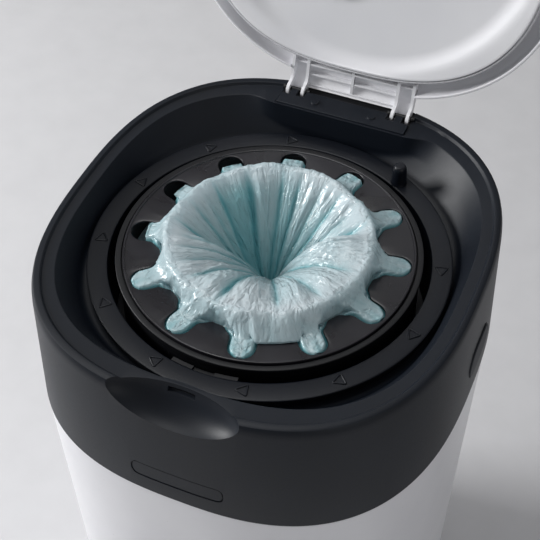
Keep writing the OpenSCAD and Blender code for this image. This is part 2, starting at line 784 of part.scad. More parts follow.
module lid_hinge_bar() {
    x1 = arm_x + cheek_gap / 2;
    color("white") opened() union() {
        for (s = [-1, 1], k = [-1, 1]) arm_cheek(s * arm_x + k * cheek_gap / 2);
        for (s = [-1, 1]) translate([s * arm_x - cheek_gap / 2, pin_y, pin_z]) rotate([90, 0, 90])
            linear_extrude(cheek_gap)
                polygon([[bar_in, 7.6], [-9.2, 7.4], [-4.6, 5.2], [-1.6, 3.9], [1.6, 2.6], [2.4, 3.8],
                    [-1.4, 5.6], [-4.4, 7], [-9.4, bar_top], [bar_in, bar_top]]);
        translate([-arm_x, pin_y + bar_in, pin_z + bar_top - 1])
            cube([2 * arm_x, -bar_in - 8.4, 1]);
        bar_rib(17.6, 1.2, 3.4);
        bar_rib(11.2, 1.2, 3.8);
        bar_rib(9.4, 1.1, 4.4);
        translate([-0.8, pin_y + bar_in, pin_z + 3.2]) cube([1.6, -bar_in - 8.4, bar_top - 3.2]);
    }
}

module lid_catch() {
    y = lid_y - liner_a + 1.9;
    low = slot_z + 0.6;
    color("white") opened() translate([-catch_x, 0, 0]) rotate([90, 0, 90]) linear_extrude(2 * catch_x)
        polygon([[y + 1.7, liner_z], [y, liner_z], [y, low + 1.9], [y - 3.4, low + 1.4],
            [y - 3.8, low + 0.8], [y - 3.4, low], [y + 1.2, low - 0.4], [y + 1.7, low]]);
}

plug_r = 16;

module lid_plug() {
    color("dimgray") opened() translate([-14, 38, liner_z + recess_d - 1.4])
        cylinder(r = plug_r, h = 1.1, $fn = 48);
}

tub();
base_pads();
lower_hinge_leaf();
rear_hinge_pin();
latch_keeper();
collar();
scoop_bowl();
hinge_block();
hinge_cover();
lid_pins();
upper_hinge_leaf();
chute();
gripper();
click_pawl();
chute_screws();
cover_screws();
cutter_housing();
cutter_blade();
lid_shell();
lid_liner();
lid_seal();
lid_hinge_bar();
lid_catch();
lid_plug();
twist_ring();
click_ring();
cassette_catch();
cassette_tub();
cassette_cover();
core_ring();
film();
film_pack();
release_button();
latch_hook();
button_spring();
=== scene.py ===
"""Looks of a nappy bin: a white tub, a charcoal top with a twisting film cassette, and a lid on two arms.

Lengths are in millimetres in the CAD model's frame, and become metres when a mesh is made.
The bodies are base, top_unit, lid, rotor and button.
"""
import random
from functools import partial
from math import atan2, copysign, cos, pi, radians, sin, sqrt

import bmesh
import bpy
import numpy as np
from mathutils import Matrix, Vector, noise


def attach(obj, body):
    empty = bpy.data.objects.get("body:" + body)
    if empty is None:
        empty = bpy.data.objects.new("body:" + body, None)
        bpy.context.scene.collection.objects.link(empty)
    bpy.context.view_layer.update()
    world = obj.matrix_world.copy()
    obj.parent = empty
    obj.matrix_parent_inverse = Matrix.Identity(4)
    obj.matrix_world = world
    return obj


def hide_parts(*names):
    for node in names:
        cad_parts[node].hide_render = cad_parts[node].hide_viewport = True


MM = 0.001
SEG = 256  # points round a large moulding

# Heights of the CAD model: the top's foot, lip and ledge, its slope and well, the ring, and the cassette.
JOINT_Z, LIP_Z, LEDGE_Z = 323.0, 401.5, 399.8
CREASE_Z, FLOOR_Z, UNDER_Z = 388.3, 380.8, 378.3
RING_Z, SILL_Z = 387.3, 340.9
COVER_Z, RIM_Z, CORE_UP = 391.8, 391.2, 7.6
# Where the axis of the ring and cassette stands, and their radii.
RING_Y = -4.2
HOLE_R, RING_R, RIM_R, COVER_R, TOOTH_R = 89.3, 99.7, 84.8, 80.8, 60.2
PEG_TURN, PEG_AT = 60.0, 94.5
# The cover's notches: number, angle of the first, half width, and the radius that their round ends stand on.
NOTCHES, NOTCH_TURN = 12, 11.5
NOTCH_HALF, NOTCH_END = 7.4, 71.2
# The lid, drawn shut, its pins, its two arms of two cheeks each, and how far it opens.
LID_Y, LID_Z, LINER_Z, LID_OPEN = -7.1, 402.2, 399.6, 101.4
PIN_Y, PIN_Z = 118.5, 400.3
ARM_X, CHEEK_GAP, CHEEK_T = 33.6, 9.6, 1.9
# The release button on the right-hand wall.
WALL_X, BUTTON_Y, BUTTON_Z = 121.0, 5.0, 350.0
# The bay of the rear hinge's leaves, and half the width of the lid hinge plate's bay.
LEAF_BAY = (-36.3, 36.3, 123.0, 143.0)
PLATE_BAY = 41.3

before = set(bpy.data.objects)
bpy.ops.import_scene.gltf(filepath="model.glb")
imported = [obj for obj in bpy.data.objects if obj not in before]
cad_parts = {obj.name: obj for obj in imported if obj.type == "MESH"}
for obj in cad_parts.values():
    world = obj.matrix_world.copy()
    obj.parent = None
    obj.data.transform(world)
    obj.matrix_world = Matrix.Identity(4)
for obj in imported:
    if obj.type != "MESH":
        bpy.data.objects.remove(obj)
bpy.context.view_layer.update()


# ---- nodes and materials ----

def colour(code):
    """Linear colour of an sRGB hex value such as #23262c."""
    parts = [int(code[i:i + 2], 16) / 255 for i in (1, 3, 5)]
    linear = [c / 12.92 if c <= 0.04045 else ((c + 0.055) / 1.055) ** 2.4 for c in parts]
    return (*linear, 1.0)


def add(tree, kind, values=None, links=None, stops=(), **settings):
    """Adds one node: its settings, the values on its own sockets, its links, and a colour ramp's stops.

    A link comes from a socket, from a node's first output, or from a list of these.
    """
    made = tree.nodes.new(kind)
    for key, value in settings.items():
        setattr(made, key, value)
    for key, value in (values or {}).items():
        made.inputs[key].default_value = value
    for key, sources in (links or {}).items():
        for source in sources if isinstance(sources, list) else [sources]:
            socket = source.outputs[0] if isinstance(source, bpy.types.Node) else source
            tree.links.new(socket, made.inputs[key])
    for k, (position, code) in enumerate(stops):
        band = made.color_ramp.elements
        stop = band[k] if k < len(band) else band.new(position)
        stop.position, stop.color = position, colour(code)
    return made


def new_material(name):
    """A material, what adds a node to its empty tree, and its object coordinates in metres."""
    material = bpy.data.materials.new(name)
    material.use_nodes = True
    tree = material.node_tree
    tree.nodes.clear()
    return material, partial(add, tree), add(tree, "ShaderNodeTexCoord").outputs["Object"]


def surfaced(material, shader):
    """The material, with the shader as its surface."""
    add(material.node_tree, "ShaderNodeOutputMaterial", links={"Surface": shader})
    return material


def moulded(name, base, paler, rough, grain_mm, grain_deep, patch_mm=60.0, coat=0.0, gloss=0.5):
    """An injection moulding: a spark-eroded grain, slow changes of tone, and slightly paler sharp edges.

    grain_mm is the spacing of the mould's grain, coarse enough to catch the light. grain_deep is its depth.
    """
    material, node, place = new_material(name)
    patches = node("ShaderNodeTexNoise", {"Scale": 1000 / patch_mm, "Detail": 3.0, "Roughness": 0.5},
        {"Vector": place})
    grain = node("ShaderNodeTexNoise", {"Scale": 1000 / grain_mm, "Detail": 2.0, "Roughness": 0.6},
        {"Vector": place})
    # Sharp edges, found by pointiness, are mixed a little towards the paler colour.
    edge = node("ShaderNodeMapRange", {"From Min": 0.53, "From Max": 0.62, "To Max": 0.55},
        {"Value": node("ShaderNodeNewGeometry").outputs["Pointiness"]})
    body = node("ShaderNodeValToRGB", links={"Fac": patches}, stops=[(0.3, base), (0.7, paler)])
    paler_edge = node("ShaderNodeMix", {"B": colour(paler)}, {"Factor": edge, "A": body}, data_type="RGBA")
    matt = node("ShaderNodeMapRange", {"To Min": rough - 0.05, "To Max": rough + 0.05}, {"Value": grain})
    bump = node("ShaderNodeBump", {"Strength": 0.6, "Distance": grain_deep * MM}, {"Height": grain})
    skin = node("ShaderNodeBsdfPrincipled", {"IOR": 1.53, "Specular IOR Level": gloss, "Coat Weight": coat,
        "Coat Roughness": 0.12}, {"Base Color": paler_edge.outputs["Result"], "Roughness": matt, "Normal": bump})
    return surfaced(material, skin)


def patterned(name, noise, stops, rough, relief, shader, ripple=None, stretch=(1.0, 1.0, 1.0)):
    """A finish whose pattern sets its tint, its roughness and, if it has no separate ripple, its relief."""
    material, node, place = new_material(name)
    along = node("ShaderNodeMapping", {"Scale": stretch}, {"Vector": place})
    pattern = node("ShaderNodeTexNoise", noise, {"Vector": along})
    tint = node("ShaderNodeValToRGB", links={"Fac": pattern}, stops=stops)
    matt = node("ShaderNodeMapRange", {"To Min": rough[0], "To Max": rough[1]}, {"Value": pattern})
    raised = node("ShaderNodeTexNoise", ripple, {"Vector": along}) if ripple else pattern
    bump = node("ShaderNodeBump", {"Strength": relief[0], "Distance": relief[1]}, {"Height": raised})
    skin = node("ShaderNodeBsdfPrincipled", shader, {"Base Color": tint, "Roughness": matt, "Normal": bump})
    return surfaced(material, skin)


def bright_steel(name, base, streak_mm, rough):
    """Drawn wire or ground sheet, with fine streaks along its length."""
    return patterned(name, {"Scale": 1000 / streak_mm, "Detail": 2.0}, [(0.3, base), (0.7, "#d6d8da")],
        (rough - 0.06, rough + 0.06), (0.35, 0.00004), {"Metallic": 1.0}, stretch=(0.04, 1.0, 1.0))


def moulded_rubber(name, base, paler):
    """Soft rubber: matt, with a fine bloom and no sharp highlight."""
    return patterned(name, {"Scale": 420.0, "Detail": 4.0}, [(0.35, base), (0.65, paler)], (0.6, 0.78),
        (0.5, 0.0001), {"IOR": 1.52, "Sheen Weight": 0.15, "Sheen Roughness": 0.5})


def crinkled_film():
    """Blown polyethylene film: milky and mint, thin enough to glow, with sharp crinkles that catch the light.

    One attribute of the mesh is painted shade: 1 deep in a fold and at the knot, 0 on open film.
    The "film_place" attribute runs round and along the film, so that its crinkles follow its pull.
    """
    material, node, place = new_material("blown_polyethylene_film_mint")
    painted_shade = node("ShaderNodeAttribute", attribute_name="painted_shade").outputs["Fac"]
    pull = node("ShaderNodeAttribute", attribute_name="film_place").outputs["Vector"]
    # Long folds, along the pull.
    warp = node("ShaderNodeTexNoise", {"Scale": 0.9, "Detail": 2.0}, {"Vector": pull})
    bent = node("ShaderNodeVectorMath", links={0: pull, 1: warp.outputs["Color"]}, operation="ADD")
    fold = node("ShaderNodeTexVoronoi", {"Scale": 1.0, "Detail": 1.0, "Roughness": 0.6}, {"Vector": bent},
        feature="DISTANCE_TO_EDGE")
    crease = node("ShaderNodeMapRange", {"From Max": 0.3}, {"Value": fold}, interpolation_type="SMOOTHSTEP")
    # Small crumples, about 7 mm across, busier in some places than in others.
    shake = node("ShaderNodeTexNoise", {"Scale": 130.0, "Detail": 2.0}, {"Vector": place})
    nudge = node("ShaderNodeVectorMath", {1: (0.006, 0.006, 0.006)}, {0: shake.outputs["Color"]},
        operation="MULTIPLY")
    moved = node("ShaderNodeVectorMath", links={0: place, 1: nudge}, operation="ADD")
    crumple = node("ShaderNodeTexVoronoi", {"Scale": 150.0, "Detail": 2.0, "Roughness": 0.6}, {"Vector": moved},
        feature="DISTANCE_TO_EDGE")
    facet = node("ShaderNodeMapRange", {"From Max": 0.35}, {"Value": crumple})
    cloud = node("ShaderNodeTexNoise", {"Scale": 46.0, "Detail": 3.0, "Distortion": 0.8}, {"Vector": place})
    busy = node("ShaderNodeMapRange", {"From Min": 0.46, "From Max": 0.64, "To Min": 0.1, "To Max": 0.7},
        {"Value": cloud})
    # Painted shade from the mesh turns the film a deeper teal, with a slow random drift of tone.
    drift = node("ShaderNodeMath", {1: 0.22}, {0: cloud}, operation="MULTIPLY")
    tone = node("ShaderNodeMath", links={0: painted_shade, 1: drift}, operation="ADD")
    tint = node("ShaderNodeValToRGB", links={"Fac": tone}, stops=[(0.08, "#e4eff4"), (0.3, "#c6e0e6"),
        (0.55, "#97ccd3"), (0.8, "#76bbc4"), (1.0, "#66b0ba")])
    matt = node("ShaderNodeMapRange", {"To Min": 0.2, "To Max": 0.34}, {"Value": facet})
    folds = node("ShaderNodeBump", {"Strength": 1.0, "Distance": 0.0007}, {"Height": crease})
    fine = node("ShaderNodeBump", {"Distance": 0.0007}, {"Strength": busy, "Height": facet, "Normal": folds})
    skin = node("ShaderNodeBsdfPrincipled", {"IOR": 1.51, "Coat Weight": 0.5, "Coat Roughness": 0.12},
        {"Base Color": tint, "Roughness": matt, "Normal": fine})
    glow = node("ShaderNodeBsdfTranslucent", links={"Color": tint, "Normal": fine})
    both = node("ShaderNodeMixShader", {"Fac": 0.38}, {1: skin, 2: glow})
    return surfaced(material, both)


# Satin ABS: the grain breaks every highlight into a broad soft sheen.
charcoal_abs = moulded("satin_abs_charcoal", "#0b1018", "#10161f", 0.45, 0.9, 0.05, gloss=0.27)
ring_abs = moulded("satin_abs_ring_charcoal", "#0a0e15", "#0f131b", 0.36, 0.9, 0.04, gloss=0.27)
# Semi-matt polystyrene and soft-touch elastomer: a duller black, and a grey with hardly any shine.
black_hips = moulded("semi_matt_polystyrene_black", "#0b0c0f", "#101115", 0.42, 1.1, 0.05, gloss=0.3)
button_tpe = moulded("soft_touch_tpe_charcoal", "#23262b", "#2a2d33", 0.6, 0.7, 0.05, gloss=0.3)
# White ABS: nearly smooth, so it shows a soft window of light and a faint orange peel.
white_abs = moulded("gloss_abs_white", "#e4e4e8", "#ececef", 0.3, 2.2, 0.03, 70.0, 0.15)
lid_abs = moulded("satin_abs_lid_white", "#e6e6ea", "#eeeef1", 0.34, 1.8, 0.03, 70.0, 0.1)
# Polypropylene and acetal: waxy, a little see-through white, and an amber grade for the pawl.
core_pp = moulded("smooth_polypropylene_white", "#dcdfe0", "#e8eaea", 0.42, 1.5, 0.04)
natural_acetal = moulded("turned_acetal_natural", "#d5d5cf", "#e2e2dc", 0.36, 1.4, 0.03)
orange_acetal = moulded("turned_acetal_amber", "#c9772b", "#d98a3d", 0.36, 1.4, 0.03)
# Polished polystyrene with a violet cast: a mirror-like moulding, dulled in soft patches by handling.
cover_hips = patterned("polished_polystyrene_violet_black", {"Scale": 38.0, "Detail": 4.0, "Distortion": 0.8},
    [(0.35, "#121116"), (0.7, "#1b1a20")], (0.2, 0.38), (0.3, 0.0003), {"IOR": 1.59, "Specular IOR Level": 0.4},
    ripple={"Scale": 60.0, "Detail": 1.0})
film_pe = crinkled_film()
# Steel: drawn, blackened, ground and coiled.
pin_steel = bright_steel("drawn_steel_pin", "#8f9296", 0.5, 0.28)
pin_black = moulded("blackened_steel_pin", "#0d0d0f", "#18181a", 0.34, 0.5, 0.03, gloss=0.4)
blade_steel = bright_steel("ground_stainless_blade", "#a2a6aa", 0.3, 0.2)
wire_steel = bright_steel("spring_steel_wire", "#7c7f84", 0.6, 0.3)
# Rubber: black feet, a grey gripper and the lid's pale seal.
foot_rubber = moulded_rubber("moulded_rubber_black", "#1c1d1f", "#26272a")
grip_rubber = moulded_rubber("moulded_rubber_grey", "#55585c", "#63666a")
seal_rubber = moulded_rubber("moulded_seal_pale_grey", "#c9c9cd", "#d6d6da")


# ---- meshes ----

def stand(name, data):
    """A new object in the scene, at the origin."""
    made = bpy.data.objects.new(name, data)
    bpy.context.scene.collection.objects.link(made)
    return made


def new_piece(name, points, faces, material, smooth=35, closed=True):
    """An object at the origin from points in millimetres, smooth except where faces meet sharply."""
    mesh = bpy.data.meshes.new(name)
    mesh.from_pydata([tuple(c * MM for c in p) for p in points], [], faces)
    mesh.validate()
    if closed:
        point_outwards(mesh)
    mesh.shade_smooth()
    mesh.set_sharp_from_angle(angle=radians(smooth))
    mesh.materials.append(material)
    return stand(name, mesh)


def point_outwards(mesh):
    """Merges doubled points and turns every face outwards."""
    shape = bmesh.new()
    shape.from_mesh(mesh)
    bmesh.ops.remove_doubles(shape, verts=shape.verts, dist=1e-7)
    bmesh.ops.recalc_face_normals(shape, faces=shape.faces)
    shape.to_mesh(mesh)
    shape.free()


def settle(piece, body, slot_name, *stands_for):
    """The finished piece rides on its body and stands for its CAD nodes, which are hidden. slot_name is not
    used.
    """
    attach(piece, body)
    if stands_for:
        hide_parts(*stands_for)


def applied(piece):
    """The piece with its live modifiers turned into its plain mesh."""
    bpy.context.view_layer.update()
    shown = piece.evaluated_get(bpy.context.evaluated_depsgraph_get())
    mesh = bpy.data.meshes.new_from_object(shown)
    piece.modifiers.clear()
    old, piece.data = piece.data, mesh
    mesh.name = piece.name
    bpy.data.meshes.remove(old)
    return piece


def eased(piece, width_mm, segments):
    """Rounds the piece's edges."""
    edge = piece.modifiers.new("edge", "BEVEL")
    edge.width = width_mm * MM
    edge.segments = segments
    edge.limit_method = "ANGLE"


def softened(rows, steps=4):
    """Rounds the corners of a closed section. Each row is its numbers and then its radius."""
    out = []
    for k, row in enumerate(rows):
        here, radius = np.array(row[:-1], float), row[-1]
        before = np.array(rows[k - 1][:-1], float)
        after = np.array(rows[(k + 1) % len(rows)][:-1], float)
        if radius <= 0:
            out.append(here)
            continue
        start, end = (here + (there - here) * min(radius / max(np.linalg.norm(there - here), 1e-6), 0.45)
            for there in (before, after))
        for s in range(steps + 1):
            u = s / steps
            out.append((1 - u) ** 2 * start + 2 * u * (1 - u) * here + u * u * end)
    return out


def oval_ring(a, b, n, cy, z):
    """Points of a squared oval: half sizes a and b, squareness n, centre cy, height z."""
    oval = []
    for i in range(SEG):
        t = 2 * pi * (i + 0.5) / SEG
        c, s = cos(t), sin(t)
        oval.append((a * copysign(abs(c) ** (2 / n), c), cy + b * copysign(abs(s) ** (2 / n), s), z))
    return oval


def bands(rings, seg, closed):
    """Quads between neighbouring rings of seg points. If closed, the last ring joins the first."""
    count = len(rings)
    faces = []
    for k in range(count if closed else count - 1):
        k2 = (k + 1) % count
        for i in range(seg):
            j = (i + 1) % seg
            faces.append((k * seg + i, k * seg + j, k2 * seg + j, k2 * seg + i))
    return faces


def lofted(name, rows, material, move=None, capped=False, smooth=35):
    """A moulding whose section sweeps round squared ovals. A capped one has a flat face at each end."""
    if capped:
        rows = [(*rows[0][:-1], 0), *rows[1:-1], (*rows[-1][:-1], 0)]
    rings = [oval_ring(*r) for r in softened(rows)]
    points = [p for oval in rings for p in oval]
    faces = bands(rings, SEG, not capped)
    if capped:
        for first, oval in ((0, rings[0]), ((len(rings) - 1) * SEG, rings[-1])):
            middle = len(points)
            points.append((0, sum(p[1] for p in oval) / SEG, oval[0][2]))
            faces += [(middle, first + i, first + (i + 1) % SEG) for i in range(SEG)]
    if move:
        points = [move @ Vector(p) for p in points]
    return new_piece(name, points, faces, material, smooth)


def turned(name, profile, material, seg=SEG, steps=3, at=(0, RING_Y)):
    """A turned form about a vertical axis. The profile holds (radius, height, corner radius)."""
    section = softened(profile, steps)
    turns = [2 * pi * i / seg for i in range(seg)]
    points = [(at[0] + r * cos(t), at[1] + r * sin(t), z) for r, z in section for t in turns]
    return new_piece(name, points, bands(section, seg, True), material)


def block(x0, x1, y0, y1, z0, z1):
    """Points and faces of a box."""
    points = [(x, y, z) for x in (x0, x1) for y in (y0, y1) for z in (z0, z1)]
    faces = [(0, 1, 3, 2), (4, 6, 7, 5), (0, 4, 5, 1), (2, 3, 7, 6), (0, 2, 6, 4), (1, 5, 7, 3)]
    return points, faces


def cutter(points, faces):
    """A tool for combine()."""
    return new_piece("cutter", points, faces, charcoal_abs)


def prism(outline, low, high, place):
    """A closed prism: a flat outline swept from low to high. place(u, v, w) gives each point."""
    count = len(outline)
    points = [place(u, v, w) for w in (low, high) for u, v in outline]
    faces = [(i, (i + 1) % count, count + (i + 1) % count, count + i) for i in range(count)]
    faces += [tuple(reversed(range(count))), tuple(range(count, 2 * count))]
    return points, faces


def ellipsoid(centre, radii):
    """Points and faces of a closed ellipsoid."""
    rows, seg = 48, 96
    x, y, z = centre
    points = [(x, y, z - radii[2])]
    for k in range(1, rows):
        p = pi * k / rows - pi / 2
        for i in range(seg):
            t = 2 * pi * i / seg
            points.append((x + radii[0] * cos(p) * cos(t), y + radii[1] * cos(p) * sin(t),
                z + radii[2] * sin(p)))
    points.append((x, y, z + radii[2]))
    faces = []
    for k in range(rows - 2):
        low, high = 1 + k * seg, 1 + (k + 1) * seg
        faces += [(low + i, low + (i + 1) % seg, high + (i + 1) % seg, high + i) for i in range(seg)]
    last = len(points) - 1
    faces += [(0, 1 + (i + 1) % seg, 1 + i) for i in range(seg)]
    faces += [(last, last - seg + i, last - seg + (i + 1) % seg) for i in range(seg)]
    return points, faces


def combine(piece, tools, operation="DIFFERENCE", smooth=35):
    """Cuts the tools out of the piece, or joins or meets them with it, and applies the result."""
    for tool in tools:
        step = piece.modifiers.new("combine", "BOOLEAN")
        step.operation = operation
        step.solver = "EXACT"
        step.object = tool
    applied(piece)
    for tool in tools:
        bpy.data.objects.remove(tool)
    piece.data.shade_smooth()
    piece.data.set_sharp_from_angle(angle=radians(smooth))


# ---- the top: collar, scoop and pad ----

def collar_wall(z, inset=0, radius=0.4):
    """A row of the collar's outer wall, which leans in a little towards the lip."""
    t = (z - JOINT_Z) / (LIP_Z - JOINT_Z)
    return (122 - 2.4 * t - inset, 131.8 - 3.2 * t - inset, 2.62, 0, z, radius)


def wall_front(x, z, inset=0):
    """Depth of the front wall, negative towards the front, at a place on it."""
    a, b, n, cy, _, _ = collar_wall(z, inset)
    return cy - b * (1 - abs(x / a) ** n) ** (1 / n)


# The finger scoop in the lip: the middle and half sizes of the ellipsoid that cuts it.
SCOOP_CENTRE = (0, -131, 402)
SCOOP = (38, 17.6, 19)


def pad_recess(depth, narrower):
    """Cuts the shallow round-ended field on the front, which follows the wall's curve and is left bare."""
    mid_x, mid_z, count, points = 1, 340, 61, []
    for inset in (depth, -3):
        half_x, half_z, corner = 26.4 - narrower, 5.6 - narrower, 4.2 - narrower
        for side in (-1, 1):
            for x in (half_x * (i / 30 - 1) for i in range(count)):
                edge = max(0, abs(x) - (half_x - corner))
                rise = half_z - corner + sqrt(max(corner ** 2 - edge ** 2, 0.04))
                z = mid_z + side * rise
                points.append((mid_x + x, wall_front(mid_x + x, z, inset), z))
    faces = []
    for a, b, c, d in ((i, count + i, 2 * count + i, 3 * count + i) for i in range(count - 1)):
        faces += [(a, a + 1, b + 1, b), (c, d, d + 1, c + 1), (a, c, c + 1, a + 1), (b, b + 1, d + 1, d)]
    for i in (0, count - 1):
        faces.append((i, count + i, 3 * count + i, 2 * count + i))
    return points, faces


def button_outline(grow):
    """Outline of the button, a level oval with round ends."""
    length, height, steps = 34, 22, 24
    r = height / 2 + grow
    half = (length - height) / 2
    right = [(half + r * cos(t), r * sin(t)) for t in (pi * (i / steps - 0.5) for i in range(steps + 1))]
    return right + [(-u, -v) for u, v in right]


def side_place(u, v, w):
    """Places an outline on the right-hand wall."""
    return (w, BUTTON_Y + u, BUTTON_Z + v)


def hinge_wall(collar):
    """Brings the slope forward to the front edge of the hinge plate, and lets it fall back beside the plate."""
    fall, foot, behind, before, lift = 24, 98.6, 85, 113, 1.9
    for point in collar.data.vertices:
        x, y, z = (c / MM for c in point.co)
        faces_up = z > FLOOR_Z + 0.2 and point.normal.z > 0.1
        if not faces_up or abs(x) > PLATE_BAY + fall or not behind < y < before:
            continue
        up = min(max((z - CREASE_Z) / (LEDGE_Z - CREASE_Z), 0), 1)
        beside = min(max((abs(x) - PLATE_BAY) / fall, 0), 1)
        weight = 1 - beside * beside * (3 - 2 * beside)
        front = min(y, foot + 1.5 * up)
        point.co.y = (y + weight * (front - y)) * MM
        point.co.z = (z + weight * lift * up ** 3) * MM


def make_collar():
    """The charcoal top in one piece, with the skin of the scoop, and its openings cut out."""
    collar = lofted("collar_shell", [collar_wall(JOINT_Z, 2.5, 0.3), collar_wall(LIP_Z - 6, 2.5, 1.5),
        collar_wall(LIP_Z - 3, 4.5, 1), (113.2, 121, 2.66, 0, LEDGE_Z - 2.5, 0.8),
        (109.4, 113.3, 2.74, 0, LEDGE_Z - 2.5, 0.8), (104.5, 105.5, 2.6, -1.5, CREASE_Z - 2, 2),
        (102, 102.3, 2.25, RING_Y + 0.6, UNDER_Z, 1.5), (92.3, 92.3, 2, RING_Y, UNDER_Z, 0.3),
        (92.3, 92.3, 2, RING_Y, FLOOR_Z, 0.5), (101.4, 101.6, 2.25, RING_Y + 0.6, FLOOR_Z, 2.5),
        (103.3, 104, 2.6, -1.5, CREASE_Z, 4), (108.4, 112.3, 2.74, 0, LEDGE_Z, 0.6),
        (114.2, 122, 2.66, 0, LEDGE_Z, 0.5), (115.1, 122.9, 2.66, 0, LIP_Z, 0.7), collar_wall(LIP_Z, 0, 6.5),
        collar_wall(JOINT_Z + 40, 0, 0), collar_wall(JOINT_Z, 0, 0.9)], charcoal_abs)
    hinge_wall(collar)
    bowl = cutter(*ellipsoid(SCOOP_CENTRE, [r + 2.4 for r in SCOOP]))
    cover = lofted("bowl_envelope", [collar_wall(JOINT_Z + 40, 0.05, 0), collar_wall(LIP_Z, 0.05, 6.5),
        (115.1, 122.9, 2.66, 0, LIP_Z - 0.05, 0.7), (114.2, 122, 2.66, 0, LEDGE_Z - 0.05, 0)], charcoal_abs,
        capped=True)
    combine(bowl, [cover], "INTERSECT")
    groove = cutter(*pad_recess(0.9, 0))
    combine(groove, [cutter(*pad_recess(1.5, 0.8))])
    combine(collar, [bowl], "UNION")
    combine(collar, [
        cutter(*ellipsoid(SCOOP_CENTRE, SCOOP)),
        cutter(*block(-7.5, 7.5, -118, -104, 394.3, 397.3)),  # the slot for the lid's catch
        cutter(*block(-PLATE_BAY, PLATE_BAY, 101.7, 124.9, LEDGE_Z - 9, 430)),
        cutter(*block(*LEAF_BAY, JOINT_Z - 5.3, JOINT_Z + 10.3)),
        cutter(*prism(button_outline(0.5), WALL_X - 12, WALL_X + 12, side_place)),
        cutter(*pad_recess(0.25, 0.4)), groove], smooth=28)
    settle(collar, "top_unit", "charcoal", "collar", "scoop_bowl")


make_collar()


# ---- tub ----

def tub_wall(z, inset, radius):
    """A row of the tub's wall, which tapers towards its foot."""
    d = 9 * (JOINT_Z - z) / JOINT_Z + inset
    return (121.4 - d, 131.2 - d, 2.65, 0, z, radius)


def make_tub():
    """The white body, open at the top, with a bay for the rear hinge's leaves."""
    top = JOINT_Z - 0.3
    tub = lofted("tub_body", [tub_wall(3, 5.6, 0), tub_wall(6, 2.6, 3), tub_wall(top, 2.6, 0.4),
        tub_wall(top, 0, 1.1), tub_wall(60, 0, 0), tub_wall(0, 0.3, 4.5), tub_wall(0, 8, 0)], white_abs,
        capped=True)
    combine(tub, [cutter(*block(*LEAF_BAY, JOINT_Z - 10.3, JOINT_Z + 5.3))])
    settle(tub, "base", "white_shell", "tub")


make_tub()


# ---- twist ring and cassette ----

def joined(name, parts):
    """One mesh from several new pieces on the same body."""
    with bpy.context.temp_override(active_object=parts[0], selected_editable_objects=parts):
        bpy.ops.object.join()
    parts[0].name = parts[0].data.name = name
    return parts[0]


ring = turned("twist_ring_body", [(80.6, SILL_Z - 2.3, 0.3), (91.6, SILL_Z - 2.3, 1.2),
    (91.6, RING_Z - 2.6, 0.3), (97.5, RING_Z - 2.6, 0.3), (97.5, FLOOR_Z + 0.4, 0.3),
    (RING_R, FLOOR_Z + 0.4, 0.3), (RING_R, RING_Z - 2.2, 0.8), (RING_R + 1.2, RING_Z - 1.2, 0.8),
    (RING_R + 1.2, RING_Z, 1), (HOLE_R, RING_Z, 0.9), (HOLE_R, SILL_Z, 0.6), (80.6, SILL_Z, 0.3)], ring_abs)
peg_place = (PEG_AT * cos(radians(PEG_TURN)), RING_Y + PEG_AT * sin(radians(PEG_TURN)))
peg = turned("peg", [(0, RING_Z - 1, 0), (4.9, RING_Z - 1, 0), (4.9, RING_Z + 0.3, 0.5), (4.5, RING_Z + 1.2, 1),
    (3.9, RING_Z + 13, 4.4), (0, RING_Z + 13, 0)], ring_abs, seg=64, steps=8, at=peg_place)
settle(joined("twist_ring_moulding", [ring, peg]), "rotor", "ring_charcoal", "twist_ring")

cassette = turned("cassette_case", [(50.5, 341.2, 0.4), (83.2, 341.2, 2), (83.4, RIM_Z - 6, 1),
    (RIM_R, RIM_Z - 1.5, 0.6), (RIM_R, RIM_Z, 0.5), (81.4, RIM_Z, 0.5), (81.4, COVER_Z - 1.8, 0.2),
    (78.4, COVER_Z - 1.8, 0.2), (78.4, COVER_Z - 3.2, 0.2), (81.6, COVER_Z - 5.6, 0.4), (81.6, 343, 1),
    (52.3, 343, 1), (52.3, RIM_Z - 8, 0.2), (50.5, RIM_Z - 8, 0.2)], black_hips)
settle(cassette, "rotor", "black_plastic", "cassette_tub")

core = turned("film_core", [(52.6, RIM_Z - 14, 0.3), (54.1, RIM_Z - 14, 0.3),
    (54.3, COVER_Z + CORE_UP - 3, 0.8), (55.3, COVER_Z + CORE_UP - 1.2, 0.8), (53.9, COVER_Z + CORE_UP, 1),
    (52.1, COVER_Z + CORE_UP - 1.2, 0.8), (51.6, COVER_Z, 0.4), (51.6, RIM_Z - 7.4, 0.2),
    (52.6, RIM_Z - 7.4, 0.2)], core_pp)
settle(core, "rotor", "core_white", "core_ring")


def notch_loop():
    """The cover's inner edge, anticlockwise: round-ended notches between flared teeth, with eased corners."""
    end = [(NOTCH_END + NOTCH_HALF * cos(t), NOTCH_HALF * sin(t), 0)
        for t in (radians(-90 + 180 * i / 20) for i in range(21))]
    lower = [(59, -12.05, 1.6), (61.8, -10.2, 3), (64.7, -NOTCH_HALF, 3), (69, -NOTCH_HALF, 0)]
    upper = [(u, -v, r) for u, v, r in reversed(lower)]
    tip = radians(-180 / NOTCHES)
    one = [(TOOTH_R * cos(tip), TOOTH_R * sin(tip), 0), *lower, *end, *upper]
    rows = []
    for i in range(NOTCHES):
        turn = radians(NOTCH_TURN + i * 360 / NOTCHES)
        c, s = cos(turn), sin(turn)
        rows += [(u * c - v * s, u * s + v * c, r) for u, v, r in one]
    return softened(rows)


